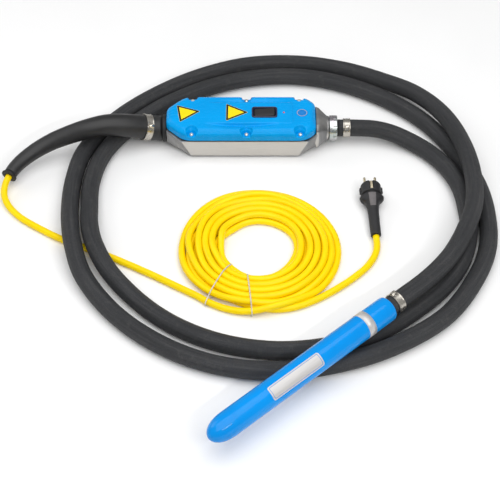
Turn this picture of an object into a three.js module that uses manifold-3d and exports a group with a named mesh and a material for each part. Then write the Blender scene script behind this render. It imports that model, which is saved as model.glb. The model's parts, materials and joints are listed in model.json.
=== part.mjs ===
// Concrete vibrator: a poker head on a long protective hose, with a frequency converter in line
// and a mains lead. Millimetres, +Z up. X runs along the converter housing, towards the poker hose,
// and the origin is the centre of the flat floor of the housing.
import * as THREE from "three";
import { mergeVertices } from "three/addons/utils/BufferGeometryUtils.js";
import Module from "manifold-3d";

const wasm = await Module();
wasm.setup();

// ---------------------------------------------------------------- sizes
const GAP = 0.3; // between faces that touch
const ROUND = 20; // sides of a turned piece
const FINE = 26; // sides of a large turned piece
const SMALL = 8; // sides of a small turned piece, a drilled hole and the bore of the hose

// Converter housing: a cast shell with tapered ends under a moulded cover
const BODY_WIDTH = 105;
const BODY_HEIGHT = 70;
const RIM_HEIGHT = 44.5;
const SHELL_WALL = 4;
const REAR_FACE_X = -151;
const REAR_SHOULDER_X = -103;
const FRONT_SHOULDER_X = 93;
const COVER_FRONT_X = 127;
const NECK_FACE_X = 152;
const END_HALF_WIDTH = 19;
const FRONT_HALF_WIDTH = 33;
const SHOULDER_LEAN = 19; // by which each shoulder is further out at the rim than at the floor
const SIDE_DRAFT = 4.5; // by which each side is further out at the rim than at the floor
const COVER_SHOULDER_X = [-118, 108];
const END_FLOOR = 9;
const AXIS_HEIGHT = 31;
const NECK_RADIUS = 22;
const NECK_BORE = 9.6;
const NECK_SWELL = 2; // by which the root of the neck is wider than the end of the hull
const NECK_DROP = 9; // from the top of the cover to the top of the neck
const CORNER_REACH = 1.22; // how far the corners of the squarish root stand out, as a share of its half size
const CORNER_RADIUS = 8;
const GASKET_THICKNESS = 1.4;
const COVER_WALL = 3;
const COVER_ROUNDING = 14;

const SCREW_X = [-103, -2, 97];
const SCREW_INSET = 6.5; // of the cover screws, from the sides of the body
const SCREW_Y = BODY_WIDTH / 2 - SCREW_INSET;
const SCREW_SEAT = 9;
const SCREW_HEAD_RADIUS = 4;
const SCREW_SHANK_RADIUS = 2;
const SCREW_LENGTH = 22;
const POCKET_RADIUS = 7.5;
const BOSS_RADIUS = 5;

const SWITCH_X = 31.5;
const SWITCH_LENGTH = 45;
const SWITCH_WIDTH = 27;
const SWITCH_DEPTH = 20;
const BEZEL_WALL = 2.4;
const ROCKER_HEIGHT = 7;
const ROCKER_TILT = 4;
const LED_X = 67.5;
const LED_RADIUS = 2;
const LAMP_DEPTH = 5;
const EMBLEM_X = 101;
const EMBLEM_RADIUS = 10.5;
const LABEL_THICKNESS = 0.4;
const SIGN_X = [-116, -27];
const SIGN_SIDE = 40;

// Inside the housing
const BOARD_LENGTH = 150;
const BOARD_WIDTH = 66;
const BOARD_THICKNESS = 1.6;
const BOARD_HEIGHT = 12;
const POST_RADIUS = 4;
const CAPACITOR_RADIUS = 9;
const CAPACITOR_HEIGHT = 26;
const CHOKE_RADIUS = 9;
const CHOKE_WIRE = 4;

// Front neck: ring nut, nipple and hose
const NUT_RADIUS = 23.5;
const NUT_LENGTH = 15;
const NIPPLE_RADIUS = 7.9;
const NIPPLE_BORE = 5.5;
const NIPPLE_REACH = 24;
const HOSE_RADIUS = 16;
const HOSE_BORE = 9.5;
const HOSE_STEPS = 72;
const CLAMP_WIDTH = 13;
const CLAMP_THICKNESS = 1.2;
const CLAMP_GAP = 0.8;
const CLAMP_EAR_ANGLES = { front: 132, sleeve: 45, head: 115 }; // round each band, from level
const CLAMP_SETBACK = 10;

// Rear bend protection sleeve and the mains lead that runs through it
const COLLAR_RADIUS = 25.5;
const COLLAR_LENGTH = 7;
const SLEEVE_LENGTH = 314;
const SLEEVE_RADIUS = 23;
const SLEEVE_TIP_RADIUS = 12;
const SLEEVE_BORE = 13;
const SLEEVE_TIP_BORE = 8.8;
const SLEEVE_SEAT = 1.2; // from the collar to the sleeve, which starts to bend there
const SLEEVE_STEPS = 18;
const SLEEVE_CLAMP_SETBACK = 25;
const GROMMET_RADIUS = 14.2;
const GROMMET_LENGTH = 7;
const GLAND_RADIUS = 11.6;
const GLAND_REACH = 11;
const GLAND_BORE = 7.2;
const CABLE_RADIUS = 6;
const CABLE_STEP = 34;

// Coil of the mains lead: a ring that all its turns fit in
const COIL_CENTRE = [18, -286];
const COIL_INNER_RADIUS = 64;
const COIL_OUTER_RADIUS = 139.5;
const COIL_HEIGHT = 23.5; // two layers of turns
const TIE_ANGLES = [230, 262];
const TIE_WIDTH = 2.5;
const TIE_THICKNESS = 1;

// Mains plug, lying on its side
const PLUG_LENGTH = 114;
const PLUG_BODY_RADIUS = 18.5;
const PLUG_FLANGE_RADIUS = 21.5;
const BOOT_RADIUS = 9;
const PIN_RADIUS = 2.4;
const PIN_LENGTH = 19;
const PIN_SPACING = 19;
const EARTH_WIDTH = 5;

// Poker head
const HEAD_LENGTH = 382;
const HEAD_RADIUS = 21.5;
const HEAD_WALL = 5;
const HEAD_REST = 1.8; // room for the labels between the head and the hose that it lies on
const NOSE_LENGTH = 46;
const NOSE_SPIGOT = 14;
const CLOSURE_LENGTH = 26;
const RING_RADIUS = 0.85;
const GROOVE_DEPTH = 2.2;
const GROOVE_WIDTH = 2.4;
const STATOR_START = 74;
const STATOR_LENGTH = 88;
const STATOR_BORE = 9.8;
const WINDING_LENGTH = 12;
const SHAFT_RADIUS = 5;
const ROTOR_GAP = 0.6;
const BEARING_CLEARANCE = 6; // from each bearing to what is next to it along the shaft
const BEARING_WIDTH = 12;
const RACE_INNER = 8;
const RACE_OUTER = 13;
const ROLLER_COUNT = 9;
const RUNNING_GAP = 0.4;
const ECCENTRIC_RADIUS = 14;
const PLATE_START = 161;
const PLATE_LENGTH = 106;
const PLATE_ANGLE = 56; // of its middle, round the tube from level
const PLATE_HALF_ANGLE = 32;
const BAND_START = 47;
const BAND_LENGTH = 15;

// ---------------------------------------------------------------- routes
// The head lies on two strands of the hose, nose towards the front left.
const HEAD_REAR = [229.5, -457, HOSE_RADIUS * 2 + HEAD_RADIUS + HEAD_REST];
const HEAD_HEADING = 221.3;

// The hose: out of the converter, two and a half loops on the floor, then up over itself to the head.
const HOSE_ROUTE = [
  [168.6, 0, 31], [204, 0, 31], [239, -2, 30], [271, -10, 26.6], [308, -28, 19.9],
  [338, -53, 17.2], [365.5, -92, 16.7], [384, -141, 16.7], [390, -194, 16.7], [389, -249, 16.7],
  [372, -314, 16.7], [339, -370, 16.7], [290, -421, 16.7], [211, -478, 16.7], [128, -507, 16.7],
  [37, -514, 16.7], [-60, -493, 16.7], [-150, -441, 16.7], [-230, -357, 22.5],
  [-263, -297.5, 30.9], [-276, -249, 28.8], [-281, -199, 20.7], [-283.5, -134, 16.9],
  [-270, -64, 16.7], [-233, 3, 16.7], [-163, 76, 16.7], [-74, 132, 16.7], [10, 159, 16.7],
  [95, 164, 16.7], [180, 144, 16.7], [262, 100, 16.7], [332, 37, 16.7], [385, -49, 16.7],
  [417, -134, 16.7], [425, -219, 16.7], [416, -294, 16.7], [386, -364, 16.7], [330, -442, 16.7],
  [240, -504, 16.7], [150, -539, 16.7], [50, -555, 16.7], [-50, -543, 16.7], [-140, -503, 16.7],
  [-221, -437, 16.9], [-279, -358, 22.5], [-301, -294, 30.2], [-309.8, -249, 29.8],
  [-315.8, -199, 21.5], [-316.3, -124, 16.9], [-301, -44, 16.7], [-245, 44, 16.7], [-171, 114, 16.7],
  [-90, 166, 16.7], [0, 199, 16.7], [100, 204, 16.7], [190, 185, 16.7], [265, 147, 20],
  [324, 91, 35], [370, 14, 47], [397, -74, 49.4], [404, -154, 49.4], [397, -219, 49.2],
  [375, -279, 48.5], [347, -332, 48.5], [317, -374, 52.8], [288, -405.6, 55.3],
  [261.3, -429.1, 55.3], [230.1, -456.5, 55.3],
];

// The mains lead: out of the housing through the sleeve, over and under the hose, to the coil.
const MAINS_ROUTE = [
  [-138, 0, 31], [-162, 0, 31], [-182, -2, 33.8], [-203, -8.5, 42.5], [-228, -16.5, 53],
  [-260, -24, 60], [-292, -33, 59.5], [-327, -40, 51.5], [-362, -51, 42.5], [-396, -71, 33.5],
  [-423, -99, 26.5], [-437, -129, 20.5], [-440, -151, 14], [-433, -174, 8.8], [-409, -204, 6.5],
  [-363, -238, 6.4], [-325, -261, 6.4], [-283, -281, 6.4], [-238, -302, 6.4], [-167, -341, 6.4],
  [-122, -368, 6.4], [-85.5, -390, 6.4],
];

// The end of the lead: out of the coil and round to the plug.
const PLUG_ROUTE = [
  [98, -408, 6.4], [124, -394, 6.4], [153, -374, 6.4], [182, -350, 6.4], [206, -325, 6.4],
  [220, -302, 6.6], [226.4, -280, 7.4], [226.02, -256.6, 9.54],
];
const PLUG_END = [226, -256, 9.6];
const PLUG_AIM = [-4.5, 134, 13];

// ---------------------------------------------------------------- materials
function finish(color, roughness, metalness) {
  return new THREE.MeshStandardMaterial({ color, roughness, metalness });
}
const BLUE_PAINT = [0x1387d8, 0.35, 0.1];
const BLUE_PLASTIC = [0x1a9be0, 0.4, 0];
const CAST_ALUMINIUM = [0xb9b6ad, 0.5, 0.9];
const RUBBER = [0x2b2c2e, 0.8, 0];
const SEAL = [0x161616, 0.9, 0];
const STAINLESS = [0xc4bfb2, 0.35, 1];
const ZINC = [0xb9bcae, 0.3, 1];
const STEEL = [0x9a9da0, 0.35, 1];
const YELLOW = [0xffe100, 0.5, 0];
const WHITE_CORD = [0xf2f0ea, 0.8, 0];
const SILVER_FOIL = [0xd9d9d6, 0.4, 0.4];
const COPPER = [0xb8693a, 0.4, 0.9];
const BOARD_GREEN = [0x1f6b3a, 0.6, 0];
const BLACK_PLASTIC = [0x222222, 0.5, 0];
const BRASS = [0xc9a552, 0.35, 1];
const RED_LENS = [0xd01818, 0.2, 0];

const root = new THREE.Group();

function place(name, geometry, look, group = root) {
  const mesh = new THREE.Mesh(geometry, finish(...look));
  mesh.name = name;
  group.add(mesh);
  return mesh;
}

// ---------------------------------------------------------------- solids
function solid(geometry) {
  const bare = geometry.index ? geometry.toNonIndexed() : geometry.clone();
  bare.deleteAttribute("normal");
  bare.deleteAttribute("uv");
  const merged = mergeVertices(bare, 1e-4);
  return new wasm.Manifold(
    new wasm.Mesh({
      numProp: 3,
      vertProperties: merged.attributes.position.array,
      triVerts: new Uint32Array(merged.index.array),
    }),
  );
}

function geometryOf(body) {
  const { vertProperties, triVerts } = body.getMesh();
  return new THREE.BufferGeometry()
    .setAttribute("position", new THREE.BufferAttribute(vertProperties, 3))
    .setIndex(new THREE.BufferAttribute(triVerts, 1));
}

function join(...geometries) {
  return geometryOf(geometries.map(solid).reduce((whole, piece) => whole.add(piece)));
}

function cut(geometry, ...tools) {
  return geometryOf(tools.map(solid).reduce((whole, tool) => whole.subtract(tool), solid(geometry)));
}

// A profile of [radius, height] pairs turned about +Z, listed upwards on its outer side.
function turned(profile, sides = ROUND) {
  const points = profile.map(([radius, height]) => new THREE.Vector2(radius, height));
  return new THREE.LatheGeometry(points, sides).rotateX(Math.PI / 2);
}

function rod(radius, from, to, sides = ROUND) {
  return turned([[0, from], [radius, from], [radius, to], [0, to]], sides);
}

function ring(inner, outer, from, to, sides = ROUND) {
  const profile = [[inner, from], [outer, from], [outer, to], [inner, to], [inner, from]];
  return turned(profile, sides);
}

// Turns a piece made along +Z so that it lies along +X or -X at the height of the housing's axis.
function alongX(geometry, sign = 1) {
  return geometry.rotateY((sign * Math.PI) / 2).translate(0, 0, AXIS_HEIGHT);
}

function block(x, y, z, centre) {
  return new THREE.BoxGeometry(x, y, z).translate(...centre);
}

// A closed skin over rings of equal count, each listed anticlockwise as seen from the last ring.
function loft(rings) {
  const count = rings[0].length;
  const corners = rings.flat().flatMap((point) => point.toArray());
  const faces = [];
  for (let level = 0; level + 1 < rings.length; level++)
    for (let i = 0; i < count; i++) {
      const a = level * count + i;
      const b = level * count + ((i + 1) % count);
      faces.push(a, b, b + count, a, b + count, a + count);
    }
  const last = (rings.length - 1) * count;
  for (let i = 1; i + 1 < count; i++) {
    faces.push(0, i + 1, i);
    faces.push(last, last + i, last + i + 1);
  }
  return new THREE.BufferGeometry()
    .setAttribute("position", new THREE.Float32BufferAttribute(corners, 3))
    .setIndex(faces);
}

function route(points) {
  const corners = points.map((point) => new THREE.Vector3(...point));
  return new THREE.CatmullRomCurve3(corners, false, "centripetal");
}

function polygon(radius, sides) {
  return Array.from({ length: sides }, (_, k) => {
    const angle = (k * 2 * Math.PI) / sides;
    return new THREE.Vector2(radius * Math.cos(angle), radius * Math.sin(angle));
  });
}

// A round cord of one section all along a route, solid or with a bore.
function cord(points, radius, steps, sides, bore = 0) {
  const section = new THREE.Shape(polygon(radius, sides));
  if (bore) section.holes.push(new THREE.Path(polygon(bore, SMALL)));
  return new THREE.ExtrudeGeometry(section, { extrudePath: route(points), steps });
}

// Rings of a tapering tube on a stretch of a route, from one arc length to another.
function taperedRings(points, from, to, steps, radiusAt, sides) {
  const curve = route(points);
  const whole = curve.getLength();
  const rings = [];
  for (let i = 0; i <= steps; i++) {
    const share = i / steps;
    const u = (from + (to - from) * share) / whole;
    const centre = curve.getPointAt(u);
    const ahead = curve.getTangentAt(u);
    const side = new THREE.Vector3(0, 0, 1).cross(ahead).normalize();
    const up = ahead.clone().cross(side);
    const radius = radiusAt(share);
    rings.push(
      Array.from({ length: sides }, (_, k) => {
        const angle = (k * 2 * Math.PI) / sides;
        return centre
          .clone()
          .addScaledVector(side, radius * Math.cos(angle))
          .addScaledVector(up, radius * Math.sin(angle));
      }),
    );
  }
  return rings;
}

// ---------------------------------------------------------------- converter housing
const halfWidth = BODY_WIDTH / 2;
const seamHeight = RIM_HEIGHT + GAP;
const coverFloor = seamHeight + GASKET_THICKNESS + GAP;
const neckStart = COVER_FRONT_X + GAP;

// A section across X with rounded lower corners, which leans out by lean along X and by draft along Y
// from the floor to the rim.
function hullSection({ x, half, low, corner, lean = 0, draft = 0 }, high) {
  const point = (y, z) => {
    const rise = z / RIM_HEIGHT;
    return new THREE.Vector3(x + lean * rise, y + Math.sign(y) * draft * rise, z);
  };
  const points = [point(half, high), point(-half, high)];
  const arc = (cy, cz, from) => {
    for (let k = 0; k <= 4; k++) {
      const angle = ((from + k * 22.5) * Math.PI) / 180;
      points.push(point(cy + corner * Math.cos(angle), cz + corner * Math.sin(angle)));
    }
  };
  arc(-half + corner, low + corner, 180);
  arc(half - corner, low + corner, 270);
  return points;
}

function hull(inset) {
  const floorHalf = halfWidth - SIDE_DRAFT;
  const stations = [
    { x: REAR_FACE_X + inset, half: END_HALF_WIDTH + 3, low: END_FLOOR, corner: 14, draft: -3 },
    { x: REAR_SHOULDER_X + inset / 2, half: floorHalf, low: 0, corner: CORNER_RADIUS, lean: -SHOULDER_LEAN },
    { x: FRONT_SHOULDER_X - inset / 2, half: floorHalf, low: 0, corner: CORNER_RADIUS, lean: SHOULDER_LEAN },
    { x: neckStart + 1 - inset, half: 28, low: 5, corner: 12, draft: 7 },
  ];
  stations[1].draft = SIDE_DRAFT;
  stations[2].draft = SIDE_DRAFT;
  const top = RIM_HEIGHT + (inset ? 1 : 0);
  return loft(
    stations.map((station) =>
      hullSection(
        {
          ...station,
          half: station.half - inset,
          low: station.low + inset,
          corner: Math.max(station.corner - inset, 2),
        },
        top,
      ),
    ),
  );
}

// The neck goes from the front end of the hull, which stands up behind the cover, to a round face.
function neck() {
  const sides = 24;
  const half = FRONT_HALF_WIDTH + NECK_SWELL;
  const lowest = 5;
  const highest = BODY_HEIGHT - NECK_DROP;
  const middle = (lowest + highest) / 2;
  const tall = (highest - lowest) / 2;
  const ringAt = (x, blend) =>
    Array.from({ length: sides }, (_, k) => {
      const angle = (k * 2 * Math.PI) / sides;
      const y = Math.cos(angle);
      const z = Math.sin(angle);
      const squareness = Math.min(1 / Math.max(Math.abs(y), Math.abs(z)), CORNER_REACH);
      const squareY = THREE.MathUtils.clamp(half * y * squareness, -half, half);
      const squareZ = THREE.MathUtils.clamp(tall * z * squareness, -tall, tall);
      return new THREE.Vector3(
        x,
        THREE.MathUtils.lerp(squareY, NECK_RADIUS * y, blend),
        THREE.MathUtils.lerp(middle + squareZ, AXIS_HEIGHT + NECK_RADIUS * z, blend),
      );
    });
  const levels = [[neckStart, 0], [neckStart + 6, 0.12], [NECK_FACE_X - 4, 0.95], [NECK_FACE_X, 1]];
  return loft(levels.map(([x, blend]) => ringAt(x, blend)));
}

const boardX = -8;
const postX = BOARD_LENGTH / 2 - 6;
const postY = BOARD_WIDTH / 2 - 6;

function housingShell() {
  const bosses = SCREW_X.flatMap((x) =>
    [-1, 1].map((side) =>
      rod(BOSS_RADIUS, SHELL_WALL - 1, RIM_HEIGHT, SMALL).translate(x, side * SCREW_Y, 0),
    ),
  );
  const posts = [-1, 1].flatMap((end) =>
    [-1, 1].map((side) =>
      rod(POST_RADIUS, SHELL_WALL - 1, BOARD_HEIGHT, SMALL).translate(boardX + end * postX, side * postY, 0),
    ),
  );
  const drills = SCREW_X.flatMap((x) =>
    [-1, 1].map((side) =>
      rod(SCREW_SHANK_RADIUS + GAP, RIM_HEIGHT - SCREW_LENGTH, RIM_HEIGHT + 2, SMALL).translate(
        x,
        side * SCREW_Y,
        0,
      ),
    ),
  );
  const tray = cut(hull(0), hull(SHELL_WALL));
  const outer = hull(0);
  const fittings = geometryOf(
    [...bosses, ...posts].map(solid).reduce((whole, piece) => whole.add(piece)).intersect(solid(outer)),
  );
  return cut(
    join(tray, fittings, neck()),
    ...drills,
    alongX(rod(NECK_BORE, COVER_FRONT_X - SHELL_WALL - 2, NECK_FACE_X + 2)),
    alongX(rod(GLAND_RADIUS + GAP, -REAR_FACE_X - SHELL_WALL - 2, -REAR_FACE_X + 2), -1),
  );
}

// The outline of the cover seen from above, pulled in all round by an inset.
function coverOutline(inset, height) {
  const half = halfWidth - inset;
  const [rearShoulder, frontShoulder] = COVER_SHOULDER_X;
  const front = [COVER_FRONT_X - inset, FRONT_HALF_WIDTH - inset * 0.6];
  const rear = [REAR_FACE_X + inset, END_HALF_WIDTH - inset * 0.4];
  const corners = [
    front,
    [frontShoulder - inset * 0.4, half],
    [rearShoulder + inset * 0.4, half],
    rear,
    [rear[0], -rear[1]],
    [rearShoulder + inset * 0.4, -half],
    [frontShoulder - inset * 0.4, -half],
    [front[0], -front[1]],
  ];
  const points = [];
  corners.forEach(([x, y], i) => {
    const [px, py] = corners[(i + 7) % 8];
    const [nx, ny] = corners[(i + 1) % 8];
    const here = new THREE.Vector2(x, y);
    const round = Math.abs(y) === half ? 13 : 7;
    const before = new THREE.Vector2(px, py).sub(here).setLength(round).add(here);
    const after = new THREE.Vector2(nx, ny).sub(here).setLength(round).add(here);
    new THREE.QuadraticBezierCurve(before, here, after)
      .getPoints(4)
      .forEach((p) => points.push(new THREE.Vector3(p.x, p.y, height)));
  });
  return points;
}

function coverDome(inset, floor, top) {
  const rise = COVER_ROUNDING;
  const levels = [coverOutline(inset, floor), coverOutline(inset, top - rise)];
  for (let k = 1; k <= 4; k++) {
    const angle = (k * Math.PI) / 8;
    levels.push(coverOutline(inset + rise * (1 - Math.cos(angle)), top - rise + rise * Math.sin(angle)));
  }
  return loft(levels);
}

const windowLength = SWITCH_LENGTH - 2 * BEZEL_WALL;
const windowWidth = SWITCH_WIDTH - 2 * BEZEL_WALL;
const screwSeat = coverFloor + SCREW_SEAT;

function housingCover() {
  const shell = cut(
    coverDome(0, coverFloor, BODY_HEIGHT),
    coverDome(COVER_WALL, coverFloor - 1, BODY_HEIGHT - COVER_WALL),
  );
  const everyScrew = SCREW_X.flatMap((x) => [-1, 1].map((side) => [x, side * SCREW_Y]));
  const columns = everyScrew.map(([x, y]) =>
    rod(POCKET_RADIUS + COVER_WALL - 1, coverFloor, BODY_HEIGHT, 12).translate(x, y, 0),
  );
  const solidColumns = geometryOf(
    columns
      .map(solid)
      .reduce((whole, piece) => whole.add(piece))
      .intersect(solid(coverDome(0, coverFloor, BODY_HEIGHT))),
  );
  const pockets = everyScrew.map(([x, y]) =>
    join(
      rod(POCKET_RADIUS, screwSeat, BODY_HEIGHT + 1, 12).translate(x, y, 0),
      block(POCKET_RADIUS * 2, BODY_WIDTH, 40, [x, y + Math.sign(y) * (BODY_WIDTH / 2), screwSeat + 20]),
    ),
  );
  const drills = everyScrew.map(([x, y]) =>
    rod(SCREW_SHANK_RADIUS + GAP, coverFloor - 1, screwSeat + 1, SMALL).translate(x, y, 0),
  );
  return cut(
    join(shell, solidColumns),
    ...pockets,
    ...drills,
    block(windowLength + 2 * GAP, windowWidth + 2 * GAP, 20, [SWITCH_X, 0, BODY_HEIGHT]),
    rod(LED_RADIUS + GAP, BODY_HEIGHT - 6, BODY_HEIGHT + 1, 12).translate(LED_X, 0, 0),
  );
}

function gasket() {
  const outer = loft([coverOutline(0.6, seamHeight), coverOutline(0.6, seamHeight + GASKET_THICKNESS)]);
  const inner = loft([
    coverOutline(SHELL_WALL, seamHeight - 1),
    coverOutline(SHELL_WALL, seamHeight + GASKET_THICKNESS + 1),
  ]);
  const ears = SCREW_X.flatMap((x) =>
    [-1, 1].map((side) =>
      rod(BOSS_RADIUS, seamHeight, seamHeight + GASKET_THICKNESS, SMALL).translate(x, side * SCREW_Y, 0),
    ),
  );
  const holes = SCREW_X.flatMap((x) =>
    [-1, 1].map((side) =>
      rod(SCREW_SHANK_RADIUS + GAP, seamHeight - 1, seamHeight + GASKET_THICKNESS + 1, SMALL).translate(
        x,
        side * SCREW_Y,
        0,
      ),
    ),
  );
  return cut(join(cut(outer, inner), ...ears), ...holes);
}

place("housing_shell", housingShell(), CAST_ALUMINIUM);
place("cover_gasket", gasket(), SEAL);
place("housing_cover", housingCover(), BLUE_PLASTIC);

const screwProfile = [
  [0, screwSeat + GAP - SCREW_LENGTH],
  [SCREW_SHANK_RADIUS, screwSeat + GAP - SCREW_LENGTH],
  [SCREW_SHANK_RADIUS, screwSeat + GAP],
  [SCREW_HEAD_RADIUS, screwSeat + GAP],
  [SCREW_HEAD_RADIUS, screwSeat + GAP + 1.6],
  [SCREW_HEAD_RADIUS * 0.7, screwSeat + GAP + 2.8],
  [0, screwSeat + GAP + 3.2],
];
SCREW_X.forEach((x, i) => {
  [-1, 1].forEach((side) => {
    const name = `cover_screw_${side < 0 ? "near" : "far"}_${i + 1}`;
    place(name, turned(screwProfile, SMALL), STAINLESS).position.set(x, side * SCREW_Y, 0);
  });
});

// ---------------------------------------------------------------- switch, lamp and labels
const bezelTop = BODY_HEIGHT + 2.2;
const pivotHeight = BODY_HEIGHT - 2;
const rockerLength = windowLength - 2 * BEZEL_WALL - 1.6;
const rockerWidth = windowWidth - 2 * BEZEL_WALL - 1.2;

function switchBezel() {
  const flange = block(SWITCH_LENGTH + 3, SWITCH_WIDTH + 3, bezelTop - BODY_HEIGHT - GAP, [
    SWITCH_X,
    0,
    (bezelTop + BODY_HEIGHT + GAP) / 2,
  ]);
  const skirt = block(windowLength, windowWidth, 10, [SWITCH_X, 0, BODY_HEIGHT - 4]);
  const hole = block(windowLength - 2 * BEZEL_WALL, windowWidth - 2 * BEZEL_WALL, 40, [
    SWITCH_X,
    0,
    BODY_HEIGHT,
  ]);
  return cut(join(flange, skirt), hole);
}

// The rocker is a shallow V seen from the side. It is made level and stands tilted to its off side.
function switchRocker() {
  const half = rockerLength / 2;
  const lift = half * Math.tan((ROCKER_TILT * Math.PI) / 180);
  const outline = new THREE.Shape([
    new THREE.Vector2(-half, -1),
    new THREE.Vector2(-half * 0.45, -ROCKER_HEIGHT + 2),
    new THREE.Vector2(half * 0.45, -ROCKER_HEIGHT + 2),
    new THREE.Vector2(half, -1),
    new THREE.Vector2(half, 2.6 + lift),
    new THREE.Vector2(half * 0.5, 2.6 + lift * 0.35),
    new THREE.Vector2(0, 2.6),
    new THREE.Vector2(-half * 0.5, 2.6 + lift * 0.35),
    new THREE.Vector2(-half, 2.6 + lift),
  ]);
  return new THREE.ExtrudeGeometry(outline, { depth: rockerWidth, bevelEnabled: false })
    .rotateX(Math.PI / 2)
    .translate(0, rockerWidth / 2, 0)
    .rotateY((-ROCKER_TILT * Math.PI) / 180)
    .translate(SWITCH_X, 0, pivotHeight);
}

const switchTop = BODY_HEIGHT - 9 - GAP;
place("switch_bezel", switchBezel(), BLACK_PLASTIC);
place("switch_rocker", switchRocker(), RUBBER);
place(
  "switch_body",
  block(windowLength, windowWidth, SWITCH_DEPTH, [SWITCH_X, 0, switchTop - SWITCH_DEPTH / 2]),
  BLACK_PLASTIC,
);
place(
  "power_lamp",
  turned(
    [
      [0, BODY_HEIGHT - LAMP_DEPTH],
      [LED_RADIUS, BODY_HEIGHT - LAMP_DEPTH],
      [LED_RADIUS, BODY_HEIGHT],
      [0, BODY_HEIGHT + LED_RADIUS * 0.6],
    ],
    12,
  ),
  RED_LENS,
).position.set(LED_X, 0, 0);
const stickerFloor = BODY_HEIGHT + GAP;
const emblem = rod(EMBLEM_RADIUS, stickerFloor, stickerFloor + LABEL_THICKNESS);
place("emblem_disc", emblem, SILVER_FOIL).position.set(EMBLEM_X, 0, 0);
SIGN_X.forEach((x, i) => {
  const depth = (SIGN_SIDE * Math.sqrt(3)) / 2;
  const outline = new THREE.Shape([
    new THREE.Vector2(-depth / 3, -SIGN_SIDE / 2),
    new THREE.Vector2((depth * 2) / 3, 0),
    new THREE.Vector2(-depth / 3, SIGN_SIDE / 2),
  ]);
  const plate = new THREE.ExtrudeGeometry(outline, { depth: LABEL_THICKNESS, bevelEnabled: false });
  place(`warning_sign_${i + 1}`, plate.translate(0, 0, stickerFloor), YELLOW).position.set(x, 0, 0);
});

// ---------------------------------------------------------------- inside the housing
const boardTop = BOARD_HEIGHT + GAP + BOARD_THICKNESS + GAP;
place(
  "circuit_board",
  block(BOARD_LENGTH, BOARD_WIDTH, BOARD_THICKNESS, [boardX, 0, BOARD_HEIGHT + GAP + BOARD_THICKNESS / 2]),
  BOARD_GREEN,
);
[-66, -44].forEach((x, i) => {
  place(
    `capacitor_${i + 1}`,
    turned(
      [
        [0, boardTop],
        [CAPACITOR_RADIUS, boardTop],
        [CAPACITOR_RADIUS, boardTop + CAPACITOR_HEIGHT],
        [0, boardTop + CAPACITOR_HEIGHT],
      ],
      16,
    ),
    BLACK_PLASTIC,
  ).position.set(x, 12, 0);
});
place(
  "power_module",
  block(36, 30, 9, [-12, -12, boardTop + 4.5]),
  BLACK_PLASTIC,
);
place(
  "choke_ring",
  new THREE.TorusGeometry(CHOKE_RADIUS, CHOKE_WIRE, 8, 16).translate(-20, 18, boardTop + CHOKE_WIRE),
  COPPER,
);
function terminalBlock() {
  const slots = [-9, 0, 9].map((y) => block(8, 5, 8, [-64, y - 14, boardTop + 12]));
  return cut(block(12, 30, 14, [-68, -14, boardTop + 7]), ...slots);
}
place("terminal_block", terminalBlock(), BLACK_PLASTIC);

// ---------------------------------------------------------------- front neck
const nutStart = NECK_FACE_X + GAP;
const nutEnd = nutStart + NUT_LENGTH;
const hoseStart = HOSE_ROUTE[0][0];

function ringNut() {
  const grip = alongX(ring(NECK_BORE, NUT_RADIUS, nutStart, nutEnd, FINE));
  const notches = Array.from({ length: 8 }, (_, k) =>
    alongX(
      block(7, 4, NUT_LENGTH * 0.5, [NUT_RADIUS + 2.2, 0, nutStart + NUT_LENGTH * 0.75]).rotateZ(
        (k * Math.PI) / 4,
      ),
    ),
  );
  return cut(grip, ...notches);
}
place("ring_nut", ringNut(), ZINC);

const nippleStart = COVER_FRONT_X - SHELL_WALL - 8;
place(
  "hose_nipple",
  alongX(
    turned([
      [NIPPLE_BORE, nippleStart],
      [NECK_BORE + 4, nippleStart],
      [NECK_BORE + 4, nippleStart + 3],
      [NIPPLE_RADIUS, nippleStart + 3],
      [NIPPLE_RADIUS, hoseStart + NIPPLE_REACH],
      [NIPPLE_BORE, hoseStart + NIPPLE_REACH],
      [NIPPLE_BORE, nippleStart],
    ]),
  ),
  STEEL,
);

// A band clamp along +Z from zero: the band, and the raised ear that was crimped to tighten it.
function bandClamp(radius, earDegrees) {
  const inner = radius + CLAMP_GAP;
  const outer = inner + CLAMP_THICKNESS;
  const ear = block(4.5, 9, CLAMP_WIDTH * 0.7, [outer + 1.2, 0, CLAMP_WIDTH / 2]);
  return join(ring(inner, outer, 0, CLAMP_WIDTH, FINE), ear).rotateZ((earDegrees * Math.PI) / 180);
}

// Stands a piece made along +Z at a point, looking along a direction: its X is level, its Y is up.
function aim(object, at, direction) {
  const forward = new THREE.Vector3(...direction).normalize();
  const across = new THREE.Vector3(0, 0, 1).cross(forward).normalize();
  const up = forward.clone().cross(across);
  const basis = new THREE.Matrix4().makeBasis(across, up, forward);
  object.setRotationFromMatrix(basis);
  object.position.set(...at);
}

const frontClamp = place(
  "front_hose_clamp",
  bandClamp(HOSE_RADIUS, CLAMP_EAR_ANGLES.front),
  STAINLESS,
);
aim(frontClamp, [hoseStart + CLAMP_SETBACK, 0, AXIS_HEIGHT], [1, 0, 0]);

place("protective_hose", cord(HOSE_ROUTE, HOSE_RADIUS, HOSE_STEPS, 12, HOSE_BORE), RUBBER);

// ---------------------------------------------------------------- rear sleeve and mains lead
const collarStart = -REAR_FACE_X + GAP;
const sleeveX = collarStart + COLLAR_LENGTH + SLEEVE_SEAT;
const sleeveStart = sleeveX + MAINS_ROUTE[0][0];

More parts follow.
